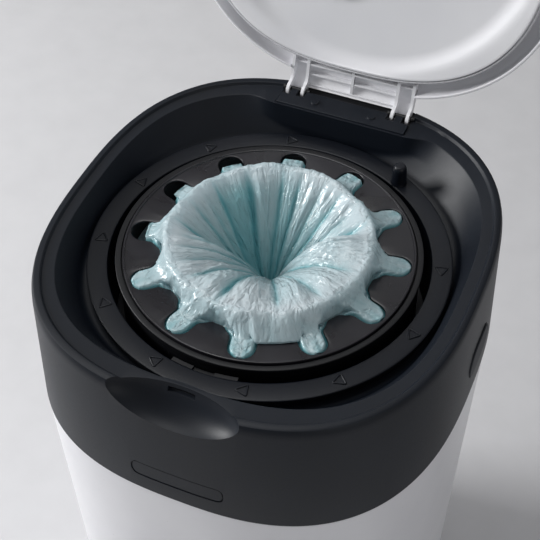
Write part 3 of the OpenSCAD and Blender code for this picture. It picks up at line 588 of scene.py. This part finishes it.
def make_cover():
    """The glossy cover: an eased edge round the notches, a flat top, and a thin raised bead at the rim."""
    loop = notch_loop()
    count = len(loop)
    normals = []
    for i in range(count):
        along = loop[(i + 1) % count] - loop[i - 1]
        normals.append(np.array([along[1], -along[0]]) / np.linalg.norm(along))
    rings = []
    for offset, up in ((0.45, -1.5), (0, -1.1), (0, -0.6), (0.08, -0.3), (0.25, -0.1), (0.55, 0)):
        rings.append([(p[0] + n[0] * offset, RING_Y + p[1] + n[1] * offset, COVER_Z + up)
            for p, n in zip(loop, normals)])
    angles = [atan2(p[1], p[0]) for p in loop]
    for r, up in ((79.35, 0.02), (79.55, 0.42), (79.9, 0.58), (80.3, 0.58), (80.65, 0.4), (COVER_R, 0.1),
        (COVER_R, -1.3), (80.6, -1.5)):
        rings.append([(r * cos(t), RING_Y + r * sin(t), COVER_Z + up) for t in angles])
    points = [p for one in rings for p in one]
    cover = new_piece("cassette_cover_plate", points, bands(rings, count, True), cover_hips, 30)
    settle(cover, "rotor", "cover_gloss", "cassette_cover")


make_cover()


# ---- film ----

# How far the film reaches into each notch. Where it falls short, the dark inside shows.
FILM_REACH = [78, 78, 75, 72, 69.5, 66, 69, 78, 78, 78, 78, 78]
FILM_ROUND = 640  # points round the film
# The funnel's wall from the knot to the rim, as (radius, height over the cover): deep behind, full in front.
DEEP_WALL = ([0, 5, 12, 25, 40, 50, 54], [-37, -34, -28, -14.5, -0.5, 7, 9.6])
FULL_WALL = ([0, 3, 6, 12, 20, 28, 36, 45, 54], [-34, -27, -20.5, -12, -4, 2.2, 6, 8.3, 9.6])
# Each main fold: the angle of its valley at the rim, how far that turns on the way to the knot, how much
# painted shade lies along the valley, where the crest lies in the fold after it, and how much painted shade
# lies over that fold.
VALLEYS = [(-150, 2, 0.4, 0.5, 0.1), (-138, 3, 0.35, 0.4, 0), (-122, 4, 0.55, 0.6, 0.05), (-98, 0, 1, 0.35, 0),
    (-62, 0, 0.45, 0.6, 0.05), (-35, 0, 0.35, 0.4, 0), (-8, 0, 0.35, 0.6, 0), (33, 0, 0.9, 0.3, 0.05),
    (48, 0, 0.25, 0.5, 0), (62, 4, 0.7, 0.65, 0.1), (76, 4, 0.3, 0.4, 0.05), (92, 4, 0.6, 0.3, 0.2),
    (104, 12, 0.7, 0.7, 0.12), (127, 22, 0.9, 0.25, 0.4), (150, 30, 1, 0.5, 0.2), (160, 24, 0.3, 0.4, 0.15),
    (170, 18, 0.5, 0.5, 0.1), (188, 8, 0.9, 0.4, 0.1), (200, 4, 0.3, 0.5, 0.05)]
# Where the film hangs over the tooth in front, and half the width of that.
DRAPE_AT, DRAPE_HALF = -63.5, 14
# How fine the film's crumples are, per millimetre.
CRUSH = 0.21


def smooth_step(low, high, value):
    """Goes from 0 at low to 1 at high, with no kink."""
    t = np.clip((value - low) / (high - low), 0, 1)
    return t * t * (3 - 2 * t)


def wrapped(angle):
    """Angles in degrees, from -180 to 180."""
    return (np.asarray(angle) + 180) % 360 - 180


def pleats(angle, r, t):
    """The main folds at one ring: their height, and their painted shade, which is deepest along the valleys."""
    order = sorted(((v[0] + v[1] * t ** 3) % 360, *v[2:]) for v in VALLEYS)
    starts, dark, crest_at, tint = (np.array(column) for column in zip(*order))
    here = angle % 360
    k = np.searchsorted(starts, here, side="right") - 1
    after = (k + 1) % len(starts)
    width = (starts[after] - starts[k]) % 360
    along = ((here - starts[k]) % 360) / np.maximum(width, 1e-3)
    across = np.radians(width) * r
    p = crest_at[k]
    rise = np.where(along < p, along / p, (1 - along) / (1 - p))
    hump = 0.6 * rise + 0.4 * (1 - (1 - rise) ** 2.4)
    near = np.minimum(along, 1 - along) * across
    # Painted shade: a dark line along each valley, and an even shade over the face of some folds.
    dim = np.where(along < 0.5, dark[k], dark[after])
    line = dim * np.exp(-(near / (0.05 * across + 0.5)) ** 1.4)
    return np.minimum(5.4, across * 0.28) * hump, line + tint[k] * smooth_step(0, 0.25, rise)


def small_folds(dice, count):
    """Angle, turn, width, height, and where along the wall each small crease starts and ends."""
    return [(dice.uniform(-180, 180), dice.uniform(-26, 30), dice.uniform(0.7, 2.6),
        dice.choice((-1, 1, 1)) * dice.uniform(0.3, 1.3), dice.uniform(-0.4, 0.55), dice.uniform(0.5, 1.4))
        for _ in range(count)]


def opening_margin(u, v):
    """How far inside the cover's opening a place is, in the frame of its nearest notch."""
    half = np.interp(u, [0, 56.2, 61.8, 64.7, NOTCH_END], [40, 13.6, 10.4, NOTCH_HALF, NOTCH_HALF])
    beyond = np.clip(u - NOTCH_END, 0, None)
    half = np.where(u > NOTCH_END, np.sqrt(np.clip(NOTCH_HALF ** 2 - beyond ** 2, 0, None)), half)
    return half - np.abs(v)


def funnel_rows(angle, folds):
    """The funnel from the knot's tail to the rim: (radius, height, painted shade, along) of each ring."""
    rows = []
    rad = np.radians(angle)
    full = smooth_step(-172, -160, angle) * (1 - smooth_step(20, 31, angle))
    sway = 0.7 * np.sin(3 * rad + 0.6) + 0.5 * np.sin(7 * rad + 1.9)
    tail, wall_rows = 8, 86
    for k in range(tail, 0, -1):
        # The knot's tail is painted in full shade.
        rows.append((2.4 + 0.5 * np.sin(5 * rad + 0.5 * k), np.full(FILM_ROUND, -34 - 1.2 * k),
            np.ones(FILM_ROUND), 1))
    for k in range(wall_rows):
        t = 1 - k / wall_rows
        r = 53.8 - 49.6 * t - 1 * t ** 8
        wall = (1 - full) * np.interp(r, *DEEP_WALL) + full * np.interp(r, *FULL_WALL)
        ease = float(smooth_step(0, 0.26, t))
        main, shade = pleats(angle, r, t)
        low = 0
        for at, turn, width, high, start, end in folds:
            inside = float(smooth_step(start, start + 0.2, t) * (1 - smooth_step(end - 0.2, end, t)))
            if inside:
                off = wrapped(angle - at - turn * t ** 2)
                low = low + high * inside * np.exp(-np.abs(off / (np.where(off > 0, 1, 0.35) * width)))
        room = min(1, r / 26)
        ridge = 2 * np.exp(-(wrapped(angle - 21) / 5) ** 2) * sin(pi * min(1, t * 1.05))
        height = wall + main * (0.2 + 0.8 * ease) - 2.2 * ease * room + low * room * (0.5 + 0.5 * ease)
        height = height + 0.8 * sway * sin(pi * min(1, t * 1.2)) + ridge
        # Painted shade: the folds' shade is faint at the rim and full further in, with more painted towards the
        # knot and less in the full front.
        tint = shade * (0.15 + 0.7 * ease) + 0.45 * t * (1 - 0.55 * full)
        rows.append((np.full(FILM_ROUND, r), height, np.clip(tint, 0, 1), t))
    return rows


def rim_rows(angle, folds):
    """Over the core's rim and down its wall: steep at a tooth, flared at a notch, hung over the front tooth."""
    rad = np.radians(angle)
    steep = [(55.2, 10.3), (56.4, 10.3), (57.4, 9.7), (58.1, 8.4), (58.5, 6.6), (58.7, 4.6), (58.8, 2.6),
        (58.9, 0.9), (59, -0.8), (59.1, -2)]
    flared = [(55.2, 10.3), (56.4, 10.3), (57.5, 9.7), (58.4, 8.6), (59.2, 7.2), (60.1, 5.7), (61.2, 4.3),
        (62.7, 3.1), (64.7, 2.2), (67, 1.5)]
    hung = [(55.3, 9.9), (57.2, 9.3), (59.3, 8.2), (61.4, 6.6), (63.6, 4.6), (65.8, 2.8), (67.6, 1.4),
        (68.4, 0.5), (63, 0.25), (59.3, -1.6)]
    drape = 1 - smooth_step(DRAPE_HALF - 5, DRAPE_HALF, np.abs(wrapped(angle - DRAPE_AT)))
    off = np.radians(wrapped(NOTCHES * (angle - NOTCH_TURN)) / NOTCHES)
    slack = 0.6 * np.sin(4 * rad + 0.4) + 0.6 * np.sin(9 * rad + 2) + 0.3 * np.sin(17 * rad)
    rows = []
    for k, ((r0, z0), (r1, z1), (r2, z2)) in enumerate(zip(steep, flared, hung)):
        hang = k / (len(steep) - 1)
        open_here = smooth_step(0.2, 2.6, opening_margin(r1 * np.cos(off), r1 * np.sin(off)))
        radius, height = r0 + (r1 - r0) * open_here, z0 + (z1 - z0) * open_here
        radius, height = radius + (r2 - radius) * drape, height + (z2 - height) * drape
        pinch = 0
        for at, turn, width, high, _, _ in folds:
            away = wrapped(angle - at - 0.5 * turn * (hang - 0.3))
            pinch = pinch + high * np.exp(-np.abs(away / (0.7 * width)))
        keep = smooth_step(0.2, 3, height)
        radius = radius + (0.4 * slack + (0.3 + 0.6 * hang) * np.clip(pinch, -0.5, 1.4)) * keep
        height = height + (0.7 * slack + 0.35 * pinch) * keep * (1 - hang)
        # The third number is painted shade, darker down the wall and where folds pinch inwards.
        rows.append((radius, height, 0.06 + 0.14 * hang + 0.06 * np.clip(-pinch, 0, 2), -0.1 - 0.4 * hang))
    return rows


def tab_rows(angle, start):
    """Under the cover's teeth, and over each notch towards its end."""
    nearest = np.round((angle - NOTCH_TURN) * NOTCHES / 360).astype(int)
    off = np.radians(angle - (NOTCH_TURN + nearest * 360 / NOTCHES))
    reach = np.array([FILM_REACH[i % NOTCHES] for i in nearest])
    rows, count = [], 28
    for k in range(1, count + 1):
        s = k / count
        radius = start[0] + (np.maximum(reach, start[0] + 2) - start[0]) * s
        open_here = smooth_step(0.3, 1.9, opening_margin(radius * np.cos(off), radius * np.sin(off)))
        puff = 1.3 - 1.1 * smooth_step(62, 78, radius) + 0.3 * np.abs(np.sin(off * 38 + nearest * 2.1))
        puff = puff + 0.2 * np.abs(np.sin(off * 71 + nearest * 1.3))
        puff = puff * smooth_step(0, 2.6, 79.2 - radius)
        height = -2.3 + (puff + 2.3) * open_here
        height = start[1] + (height - start[1]) * smooth_step(0, 0.3, np.full(FILM_ROUND, s))
        # Painted shade: darker under the teeth, with streaks of shade along each notch.
        shade = 0.2 + 0.5 * (1 - open_here) + 0.2 * s * np.sin(off * 31 + nearest) ** 2
        rows.append((radius, height, shade, -0.5 - s * 0.5))
    return rows


def make_film():
    """One sheet from the knot to the notches, with its pulled and crushed crinkles laid over the rows."""
    angle = wrapped(np.arange(FILM_ROUND) * 360 / FILM_ROUND)
    dice = random.Random(23)
    rows = funnel_rows(angle, small_folds(dice, 64)) + rim_rows(angle, small_folds(dice, 70))
    rows += tab_rows(angle, rows[-1])
    points, depth, place = [], [], []
    ways = [(cos(radians(a)), sin(radians(a))) for a in angle]
    for radius, height, shade, along in rows:
        for i, (c, s) in enumerate(ways):
            r, z = float(radius[i]), float(height[i])
            x, y = r * c, r * s
            if r > 7 and z > -1.6:
                pull = Vector((c * 7 + 0.02 * r, s * 7, along * 3))
                crush = Vector((x * CRUSH, y * CRUSH, z * CRUSH))
                calm = 0.4 if along < -0.5 else 1 - 0.6 * min(1, max(0, (r - 42) / 12))
                busy = calm * (0.15 + 0.85 * max(0, min(1, 0.5 + 2.2 * noise.noise(crush * 0.3))))
                lift = 0.7 * (0.3 - abs(noise.noise(pull))) + busy * 1.1 * (0.3 - abs(noise.noise(crush)))
                lift += busy * 0.3 * (0.3 - abs(noise.noise(crush * 2.3)))
                z += lift * float(smooth_step(-1.6, 1, z))
            points.append((x, RING_Y + y, COVER_Z + z))
            # Each point carries its painted shade.
            depth.append(float(shade[i]))
            place.append((c * 9, s * 9, along * 3))
    film = new_piece("film_sheet", points, bands(rows, FILM_ROUND, False), film_pe, 180, closed=False)
    film.data.attributes.new("painted_shade", "FLOAT", "POINT").data.foreach_set("value", depth)
    film.data.attributes.new("film_place", "FLOAT_VECTOR", "POINT").data.foreach_set("vector",
        [c for p in place for c in p])
    settle(film, "rotor", "film", "film")


make_film()


# ---- lid ----

# Turns a piece of the lid, which is drawn shut, about the lid pins to where the open lid stands.
PIN = Vector((0, PIN_Y, PIN_Z))
OPENED = Matrix.Translation(PIN) @ Matrix.Rotation(radians(-LID_OPEN), 4, "X") @ Matrix.Translation(-PIN)


def liner_row(inset, n, up, radius):
    """A row of the liner's squared part, or of the seal round it."""
    return (103.4 - inset, 103.4 - inset, n, LID_Y, LINER_Z + up, radius)


def disc_row(r, up, radius):
    """A row of the liner's round recess, over the cassette."""
    return (r, r, 2, RING_Y, LINER_Z + up, radius)


def make_lid():
    """The domed shell, the liner inside it and the seal round the liner."""
    shell = lofted("lid_shell_body", [(116.3 - inset, 117.1 - inset, 2.42, LID_Y, LID_Z + up, radius)
        for inset, up, radius in ((92, 17.8, 0), (62, 17.5, 12), (32, 16, 9), (15.6, 13.6, 6), (6.6, 9.8, 3),
        (3, 5.8, 2), (2.2, 2.5, 1), (2, 0, 0.5), (0.6, 0, 0.7), (0, 2.7, 1.5), (0.7, 7, 3), (4.8, 12, 5),
        (14, 15.6, 6), (31, 18.1, 9), (61, 19.7, 12), (91, 20, 0))], lid_abs, OPENED, capped=True)
    bay = ARM_X + CHEEK_GAP / 2 + CHEEK_T / 2 + 0.3
    points, faces = block(-bay, bay, PIN_Y - 16, PIN_Y + 14, LID_Z - 5, PIN_Z + 9.3)
    combine(shell, [cutter([OPENED @ Vector(p) for p in points], faces)])
    settle(shell, "lid", "white_lid", "lid_shell")
    liner = lofted("lid_liner_body", [disc_row(60, 7.5, 0), disc_row(92.3, 6.5, 4), disc_row(98.5, 2.6, 3),
        liner_row(2.6, 2.6, 2.4, 0.5), liner_row(2.4, 2.42, 14.4, 0.3), liner_row(0.3, 2.42, 14.4, 0.3),
        liner_row(0, 2.63, 1, 0.6), liner_row(0.3, 2.63, 0, 0.7), liner_row(1.6, 2.63, 0, 0.3),
        disc_row(99.5, 0.5, 3), disc_row(92.6, 4.3, 5), disc_row(60, 5.5, 0)], lid_abs, OPENED, capped=True,
        smooth=60)
    settle(liner, "lid", "white_lid", "lid_liner")
    seal = lofted("lid_seal_lip", [liner_row(-0.3, 2.63, 3.4, 0.2), liner_row(-0.3, 2.63, 0.9, 0.2),
        liner_row(-1, 2.63, 0.5, 0.4), liner_row(-1.7, 2.63, 1.1, 0.5), liner_row(-1.4, 2.63, 3.4, 0.2)],
        seal_rubber, OPENED)
    settle(seal, "lid", "seal_rubber", "lid_seal")


make_lid()


def make_hinge_bar():
    """Two arms, each a floor between two cheeks, with a ribbed panel between the arms.

    Outlines are seen from the side, about the lid pin of the shut lid: u to the back and v up.
    """
    parts = []

    def between(x0, x1, outline, steps=5):
        """A slice of the bar with this outline, opened with the lid."""
        def place(u, v, w):
            return OPENED @ Vector((x0 + w, PIN_Y + u, PIN_Z + v))

        parts.append(new_piece("part", *prism(softened(outline, steps), 0, x1 - x0, place), lid_abs, 30))

    hub = [(4.4 * cos(radians(t)), 4.4 * sin(radians(t)), 0) for t in range(195, 376, 12)]
    cheek = [(-21, 3.6, 0.5), (-15.2, 3, 2), (-8, 2.8, 2.5), (-5.4, 1.4, 2), *hub, (3.2, 3.2, 1.8),
        (-1.4, 5.8, 2), (-4.4, 7.2, 2.5), (-9.4, 9, 3), (-21, 9, 0.5)]
    floor = [(-21, 7.6, 0.3), (-9.2, 7.4, 3), (-4.6, 5.2, 2), (-1.6, 3.9, 1.5), (1.6, 2.6, 0.4),
        (2.4, 3.8, 0.5), (-1.4, 5.6, 1.5), (-4.4, 7, 2), (-9.4, 9, 3), (-21, 9, 0.3)]
    for side in (-1, 1):
        for k in (-1, 1):
            low = side * ARM_X + k * CHEEK_GAP / 2 - CHEEK_T / 2
            between(low, low + CHEEK_T, cheek)
        between(side * ARM_X - CHEEK_GAP / 2, side * ARM_X + CHEEK_GAP / 2, floor)
    inner = ARM_X - CHEEK_GAP / 2 - CHEEK_T / 2

    def rib(u0, u1, low, high=9, x0=-inner, x1=inner):
        """A square-ended rib from u0 to u1, which reaches down to low."""
        between(x0, x1, [(u0, low, 0.3), (u1, low, 0.3), (u1, high, 0), (u0, high, 0)], 2)

    between(-inner, inner, [(-21, 8, 0.3), (-9.2, 7.8, 3), (-4.6, 5.2, 2), (-1.9, 3, 0.3), (-1.2, 3.9, 0.4),
        (-4.4, 6.6, 2), (-9.4, 9, 3), (-21, 9, 0.3)])
    rib(-17.6, -16.4, 3.4)
    rib(-11.2, -10, 3.8)
    rib(-4.2, -3.2, 3.4, 5.6)
    rib(-21, -4, 3.6, 5.9, x0=-0.8, x1=0.8)
    rib(-21, -8.4, 5, x0=-0.8, x1=0.8)
    for side in (-1, 1):
        rib(-17.6, -16.6, 4.6, x0=side * ARM_X - CHEEK_GAP / 2, x1=side * ARM_X + CHEEK_GAP / 2)
    settle(joined("lid_hinge_arms", parts), "lid", "white_lid", "lid_hinge_bar")


make_hinge_bar()


def make_hinge_cover():
    """The plate over the pins: a notch for each cheek, with a tongue between."""
    plate = new_piece("hinge_cover_plate", *block(0.6 - PLATE_BAY, PLATE_BAY - 0.6, 102, PIN_Y - 1.9, LEDGE_Z,
        LEDGE_Z + 2.4), charcoal_abs)
    cheeks = [side * ARM_X + k * CHEEK_GAP / 2 for side in (-1, 1) for k in (-1, 1)]
    combine(plate, [cutter(*block(x - 2.7, x + 2.4, PIN_Y - 7.4, PIN_Y + 10, LEDGE_Z - 1, LEDGE_Z + 5))
        for x in cheeks])
    eased(plate, 0.35, 2)
    settle(plate, "top_unit", "charcoal", "hinge_cover")


make_hinge_cover()


# ---- release button ----

def make_button():
    """The oval cap, its flange behind the wall, and the block that carries the hook."""
    parts = [new_piece("part", *prism(button_outline(grow), low, high, side_place), button_tpe)
        for grow, low, high in ((0, WALL_X - 4.4, WALL_X + 0.9), (1.6, WALL_X - 7.4, WALL_X - 4))]
    parts.append(new_piece("part", *block(WALL_X - 12, WALL_X - 7, BUTTON_Y - 6, BUTTON_Y + 6, BUTTON_Z - 6,
        BUTTON_Z + 6), button_tpe))
    button = joined("release_button_cap", parts)
    eased(button, 0.7, 3)
    settle(button, "button", "rubber", "release_button")


make_button()


# ---- repeated pieces, made by Geometry Nodes ----

SOCKET = {int: "NodeSocketInt", float: "NodeSocketFloat", tuple: "NodeSocketVector"}


def new_tree(name, values):
    """A geometry tree with an input for each value, what adds a node to it, and the sockets of its inputs."""
    group = bpy.data.node_groups.new(name, "GeometryNodeTree")
    group.interface.new_socket("Geometry", in_out="OUTPUT", socket_type="NodeSocketGeometry")
    for label, value in values.items():
        group.interface.new_socket(label, in_out="INPUT", socket_type=SOCKET[type(value)])
    return group, partial(add, group), add(group, "NodeGroupInput").outputs


def grown(name, make_tree, values):
    """Runs a geometry tree on an empty mesh with these inputs, and returns its result as a plain piece."""
    carrier = stand(name, bpy.data.meshes.new(name))
    step = carrier.modifiers.new("grow", "NODES")
    step.node_group = make_tree(values)
    for item in step.node_group.interface.items_tree:
        if item.in_out == "INPUT":
            step[item.identifier] = values[item.name]
    return applied(carrier)


def points_on_circle(node, given):
    """The named number of points round the named centre."""
    circle = node("GeometryNodeMeshCircle", fill_type="NONE", links={"Vertices": given["Count"],
        "Radius": given["Pitch radius"]})
    turn = node("ShaderNodeCombineXYZ", links={"Z": given["First angle"]})
    return node("GeometryNodeTransform", links={"Geometry": circle, "Rotation": turn,
        "Translation": given["Centre"]})


def set_on_points(node, points, form, rotation, material):
    """Closes a tree: the form stands on each point, is made real, and gets its material."""
    placed = node("GeometryNodeInstanceOnPoints", links={"Points": points, "Instance": form,
        "Rotation": rotation})
    real = node("GeometryNodeRealizeInstances", links={"Geometry": placed})
    painted = node("GeometryNodeSetMaterial", {"Material": material}, {"Geometry": real})
    node("NodeGroupOutput", links={"Geometry": painted})


def pointer_tree(values):
    """Raised outline triangles round a circle: a bent wire on each point, turned to face outwards."""
    group, node, given = new_tree("ring_pointers", values)
    here = node("GeometryNodeInputPosition")
    near = node("ShaderNodeVectorMath", links={0: here, 1: given["Skip near"]}, operation="DISTANCE")
    close = node("FunctionNodeCompare", links={0: near.outputs["Value"], 1: given["Skip reach"]},
        data_type="FLOAT", operation="LESS_THAN")
    kept = node("GeometryNodeDeleteGeometry", domain="POINT", links={"Geometry": points_on_circle(node, given),
        "Selection": close})
    triangle = node("GeometryNodeCurvePrimitiveCircle", {"Resolution": 3}, mode="RADIUS",
        links={"Radius": given["Pointer size"]})
    eased_line = node("GeometryNodeFilletCurve", {"Radius": 0.0005, "Count": 3}, {"Curve": triangle},
        mode="POLY")
    wire = node("GeometryNodeCurvePrimitiveCircle", {"Resolution": 4}, mode="RADIUS",
        links={"Radius": given["Line width"]})
    outline = node("GeometryNodeCurveToMesh", {"Fill Caps": True}, {"Curve": eased_line, "Profile Curve": wire})
    outward = node("ShaderNodeVectorMath", links={0: here, 1: given["Centre"]}, operation="SUBTRACT")
    facing = node("FunctionNodeAlignRotationToVector", links={"Vector": outward}, axis="Y")
    set_on_points(node, kept, outline, facing, ring_abs)
    return group


def screw_tree(values):
    """Pan-head screws round a circle: a turned head with a cross recess, and a plain shank."""
    group, node, given = new_tree("pan_head_screws", values)
    dome = node("GeometryNodeMeshUVSphere", {"Segments": 32, "Rings": 16}, {"Radius": given["Head radius"]})
    flat = node("ShaderNodeMath", links={0: given["Head height"], 1: given["Head radius"]}, operation="DIVIDE")
    squash = node("ShaderNodeCombineXYZ", {"X": 1.0, "Y": 1.0}, {"Z": flat})
    head = node("GeometryNodeTransform", links={"Geometry": dome, "Scale": squash})
    slot_l, slot_w = (node("ShaderNodeMath", {1: share}, {0: given["Head radius"]}, operation="MULTIPLY")
        for share in (1.2, 0.28))
    lift = node("ShaderNodeCombineXYZ", links={"Z": given["Head height"]})
    bars = []
    for x, y in ((slot_l, slot_w), (slot_w, slot_l)):
        size = node("ShaderNodeCombineXYZ", links={"X": x, "Y": y, "Z": given["Head height"]})
        bar = node("GeometryNodeMeshCube", links={"Size": size})
        bars.append(node("GeometryNodeTransform", links={"Geometry": bar, "Translation": lift}))
    cut = node("GeometryNodeMeshBoolean", operation="DIFFERENCE", solver="EXACT",
        links={"Mesh 1": head, "Mesh 2": bars})
    shank = node("GeometryNodeMeshCylinder", {"Vertices": 24}, {"Radius": given["Shank radius"],
        "Depth": given["Shank length"]})
    half = node("ShaderNodeMath", {1: -0.5}, {0: given["Shank length"]}, operation="MULTIPLY")
    drop = node("ShaderNodeCombineXYZ", links={"Z": half})
    stem = node("GeometryNodeTransform", links={"Geometry": shank, "Translation": drop})
    screw = node("GeometryNodeJoinGeometry", links={"Geometry": [cut, stem]})
    aim = node("FunctionNodeEulerToRotation", links={"Euler": given["Tilt"]})
    set_on_points(node, points_on_circle(node, given), screw, aim, pin_steel)
    return group


# The pointers skip the places beside the peg.
pointers = grown("ring_pointers", pointer_tree, {"Pitch radius": 0.0948, "Count": 12, "Pointer size": 0.0042,
    "Line width": 0.00055, "First angle": radians(15), "Centre": (0.0, RING_Y * MM, RING_Z * MM),
    "Skip near": (peg_place[0] * MM, peg_place[1] * MM, RING_Z * MM), "Skip reach": 0.032})
settle(pointers, "rotor", "ring_charcoal")
# The chute's screws stand head down under its ears.
screws = grown("chute_screw_set", screw_tree, {"Pitch radius": 0.1028, "Count": 4, "Head radius": 0.0026,
    "Head height": 0.0019, "Shank radius": 0.0015, "Shank length": 0.0052, "First angle": radians(45),
    "Centre": (0.0, RING_Y * MM, (UNDER_Z - 3.3) * MM), "Tilt": (pi, 0.0, 0.0)})
settle(screws, "top_unit", "steel", "chute_screws")


# ---- finishes of the CAD nodes that stay ----

FINISHES = [(foot_rubber, "base_pads lid_plug"), (white_abs, "lower_hinge_leaf"), (lid_abs, "lid_catch"),
    (charcoal_abs, "cover_screws upper_hinge_leaf"), (black_hips, "hinge_block chute cassette_catch"),
    (natural_acetal, "latch_keeper latch_hook cutter_housing click_ring"), (orange_acetal, "click_pawl"),
    (pin_steel, "rear_hinge_pin"), (pin_black, "lid_pins"), (blade_steel, "cutter_blade"),
    (wire_steel, "button_spring"), (grip_rubber, "gripper"), (film_pe, "film_pack")]
for finish, names in FINISHES:
    for name in names.split():
        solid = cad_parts[name]
        if not solid.material_slots:
            solid.data.materials.append(finish)
        for place in solid.material_slots:
            place.material = finish


# ---- floor, light and camera ----

def make_floor():
    """A plain pale matt floor."""
    material, node, place = new_material("matt_pale_floor")
    mottle = node("ShaderNodeTexNoise", {"Scale": 30.0, "Detail": 3.0}, {"Vector": place})
    tint = node("ShaderNodeValToRGB", links={"Fac": mottle}, stops=[(0.3, "#cdcdcf"), (0.7, "#d1d1d3")])
    skin = node("ShaderNodeBsdfPrincipled", {"Roughness": 0.9, "Specular IOR Level": 0.1}, {"Base Color": tint})
    mesh = bpy.data.meshes.new("floor")
    mesh.from_pydata([(-6, -6, 0), (6, -6, 0), (6, 6, 0), (-6, 6, 0)], [], [(0, 1, 2, 3)])
    mesh.materials.append(surfaced(material, skin))
    stand("floor", mesh)


def soft_lamp(name, place, size, power):
    """A rectangular lamp that faces the top of the bin."""
    lamp = bpy.data.lights.new(name, "AREA")
    lamp.shape = "RECTANGLE"
    lamp.size, lamp.size_y = size
    lamp.energy = power
    held = stand(name, lamp)
    held.location = place
    held.rotation_mode = "QUATERNION"
    held.rotation_quaternion = (Vector((0.0, 0.0, 0.38)) - Vector(place)).to_track_quat("-Z", "Y")


def light_scene():
    """One plain pale surround, a broad soft key from the left, and weaker lamps above and on the right."""
    world = bpy.data.worlds.new("studio")
    bpy.context.scene.world = world
    world.use_nodes = True
    tree = world.node_tree
    tree.nodes.clear()
    around = add(tree, "ShaderNodeBackground", {"Color": colour("#fafafc"), "Strength": 0.26})
    add(tree, "ShaderNodeOutputWorld", links={"Surface": around})
    soft_lamp("key", (-1.6, -0.3, 1.05), (0.6, 0.6), 33.0)
    soft_lamp("top", (-0.5, 0.25, 2.0), (0.9, 0.7), 8.5)
    soft_lamp("fill", (1.6, -1.2, 1.0), (1.2, 1.2), 4.0)


def make_camera():
    """Looks down from the front right, framed for a square picture of 540 by 540, a size that this script does
    not set.
    """
    azimuth, elevation, roll = (radians(v) for v in (23.55, 46.49, -0.73))
    back = Vector((sin(azimuth) * cos(elevation), -cos(azimuth) * cos(elevation), sin(elevation)))
    right = Vector((cos(azimuth), sin(azimuth), 0.0))
    up = back.cross(right)
    across = right * cos(roll) + up * sin(roll)
    upright = up * cos(roll) - right * sin(roll)
    lens = bpy.data.cameras.new("camera")
    lens.sensor_width, lens.lens, distance = 36.0, 83.27, 0.6871
    lens.shift_x, lens.shift_y = 0.0012, -0.0407
    held = stand("camera", lens)
    # Aimed at the middle of the cassette's cover.
    place = Vector((0.0, RING_Y * MM, COVER_Z * MM)) + back * distance
    held.matrix_world = Matrix.Translation(place) @ Matrix((across, upright, back)).transposed().to_4x4()
    bpy.context.scene.camera = held


make_floor()
light_scene()
make_camera()
bpy.context.scene.view_settings.view_transform = "Standard"
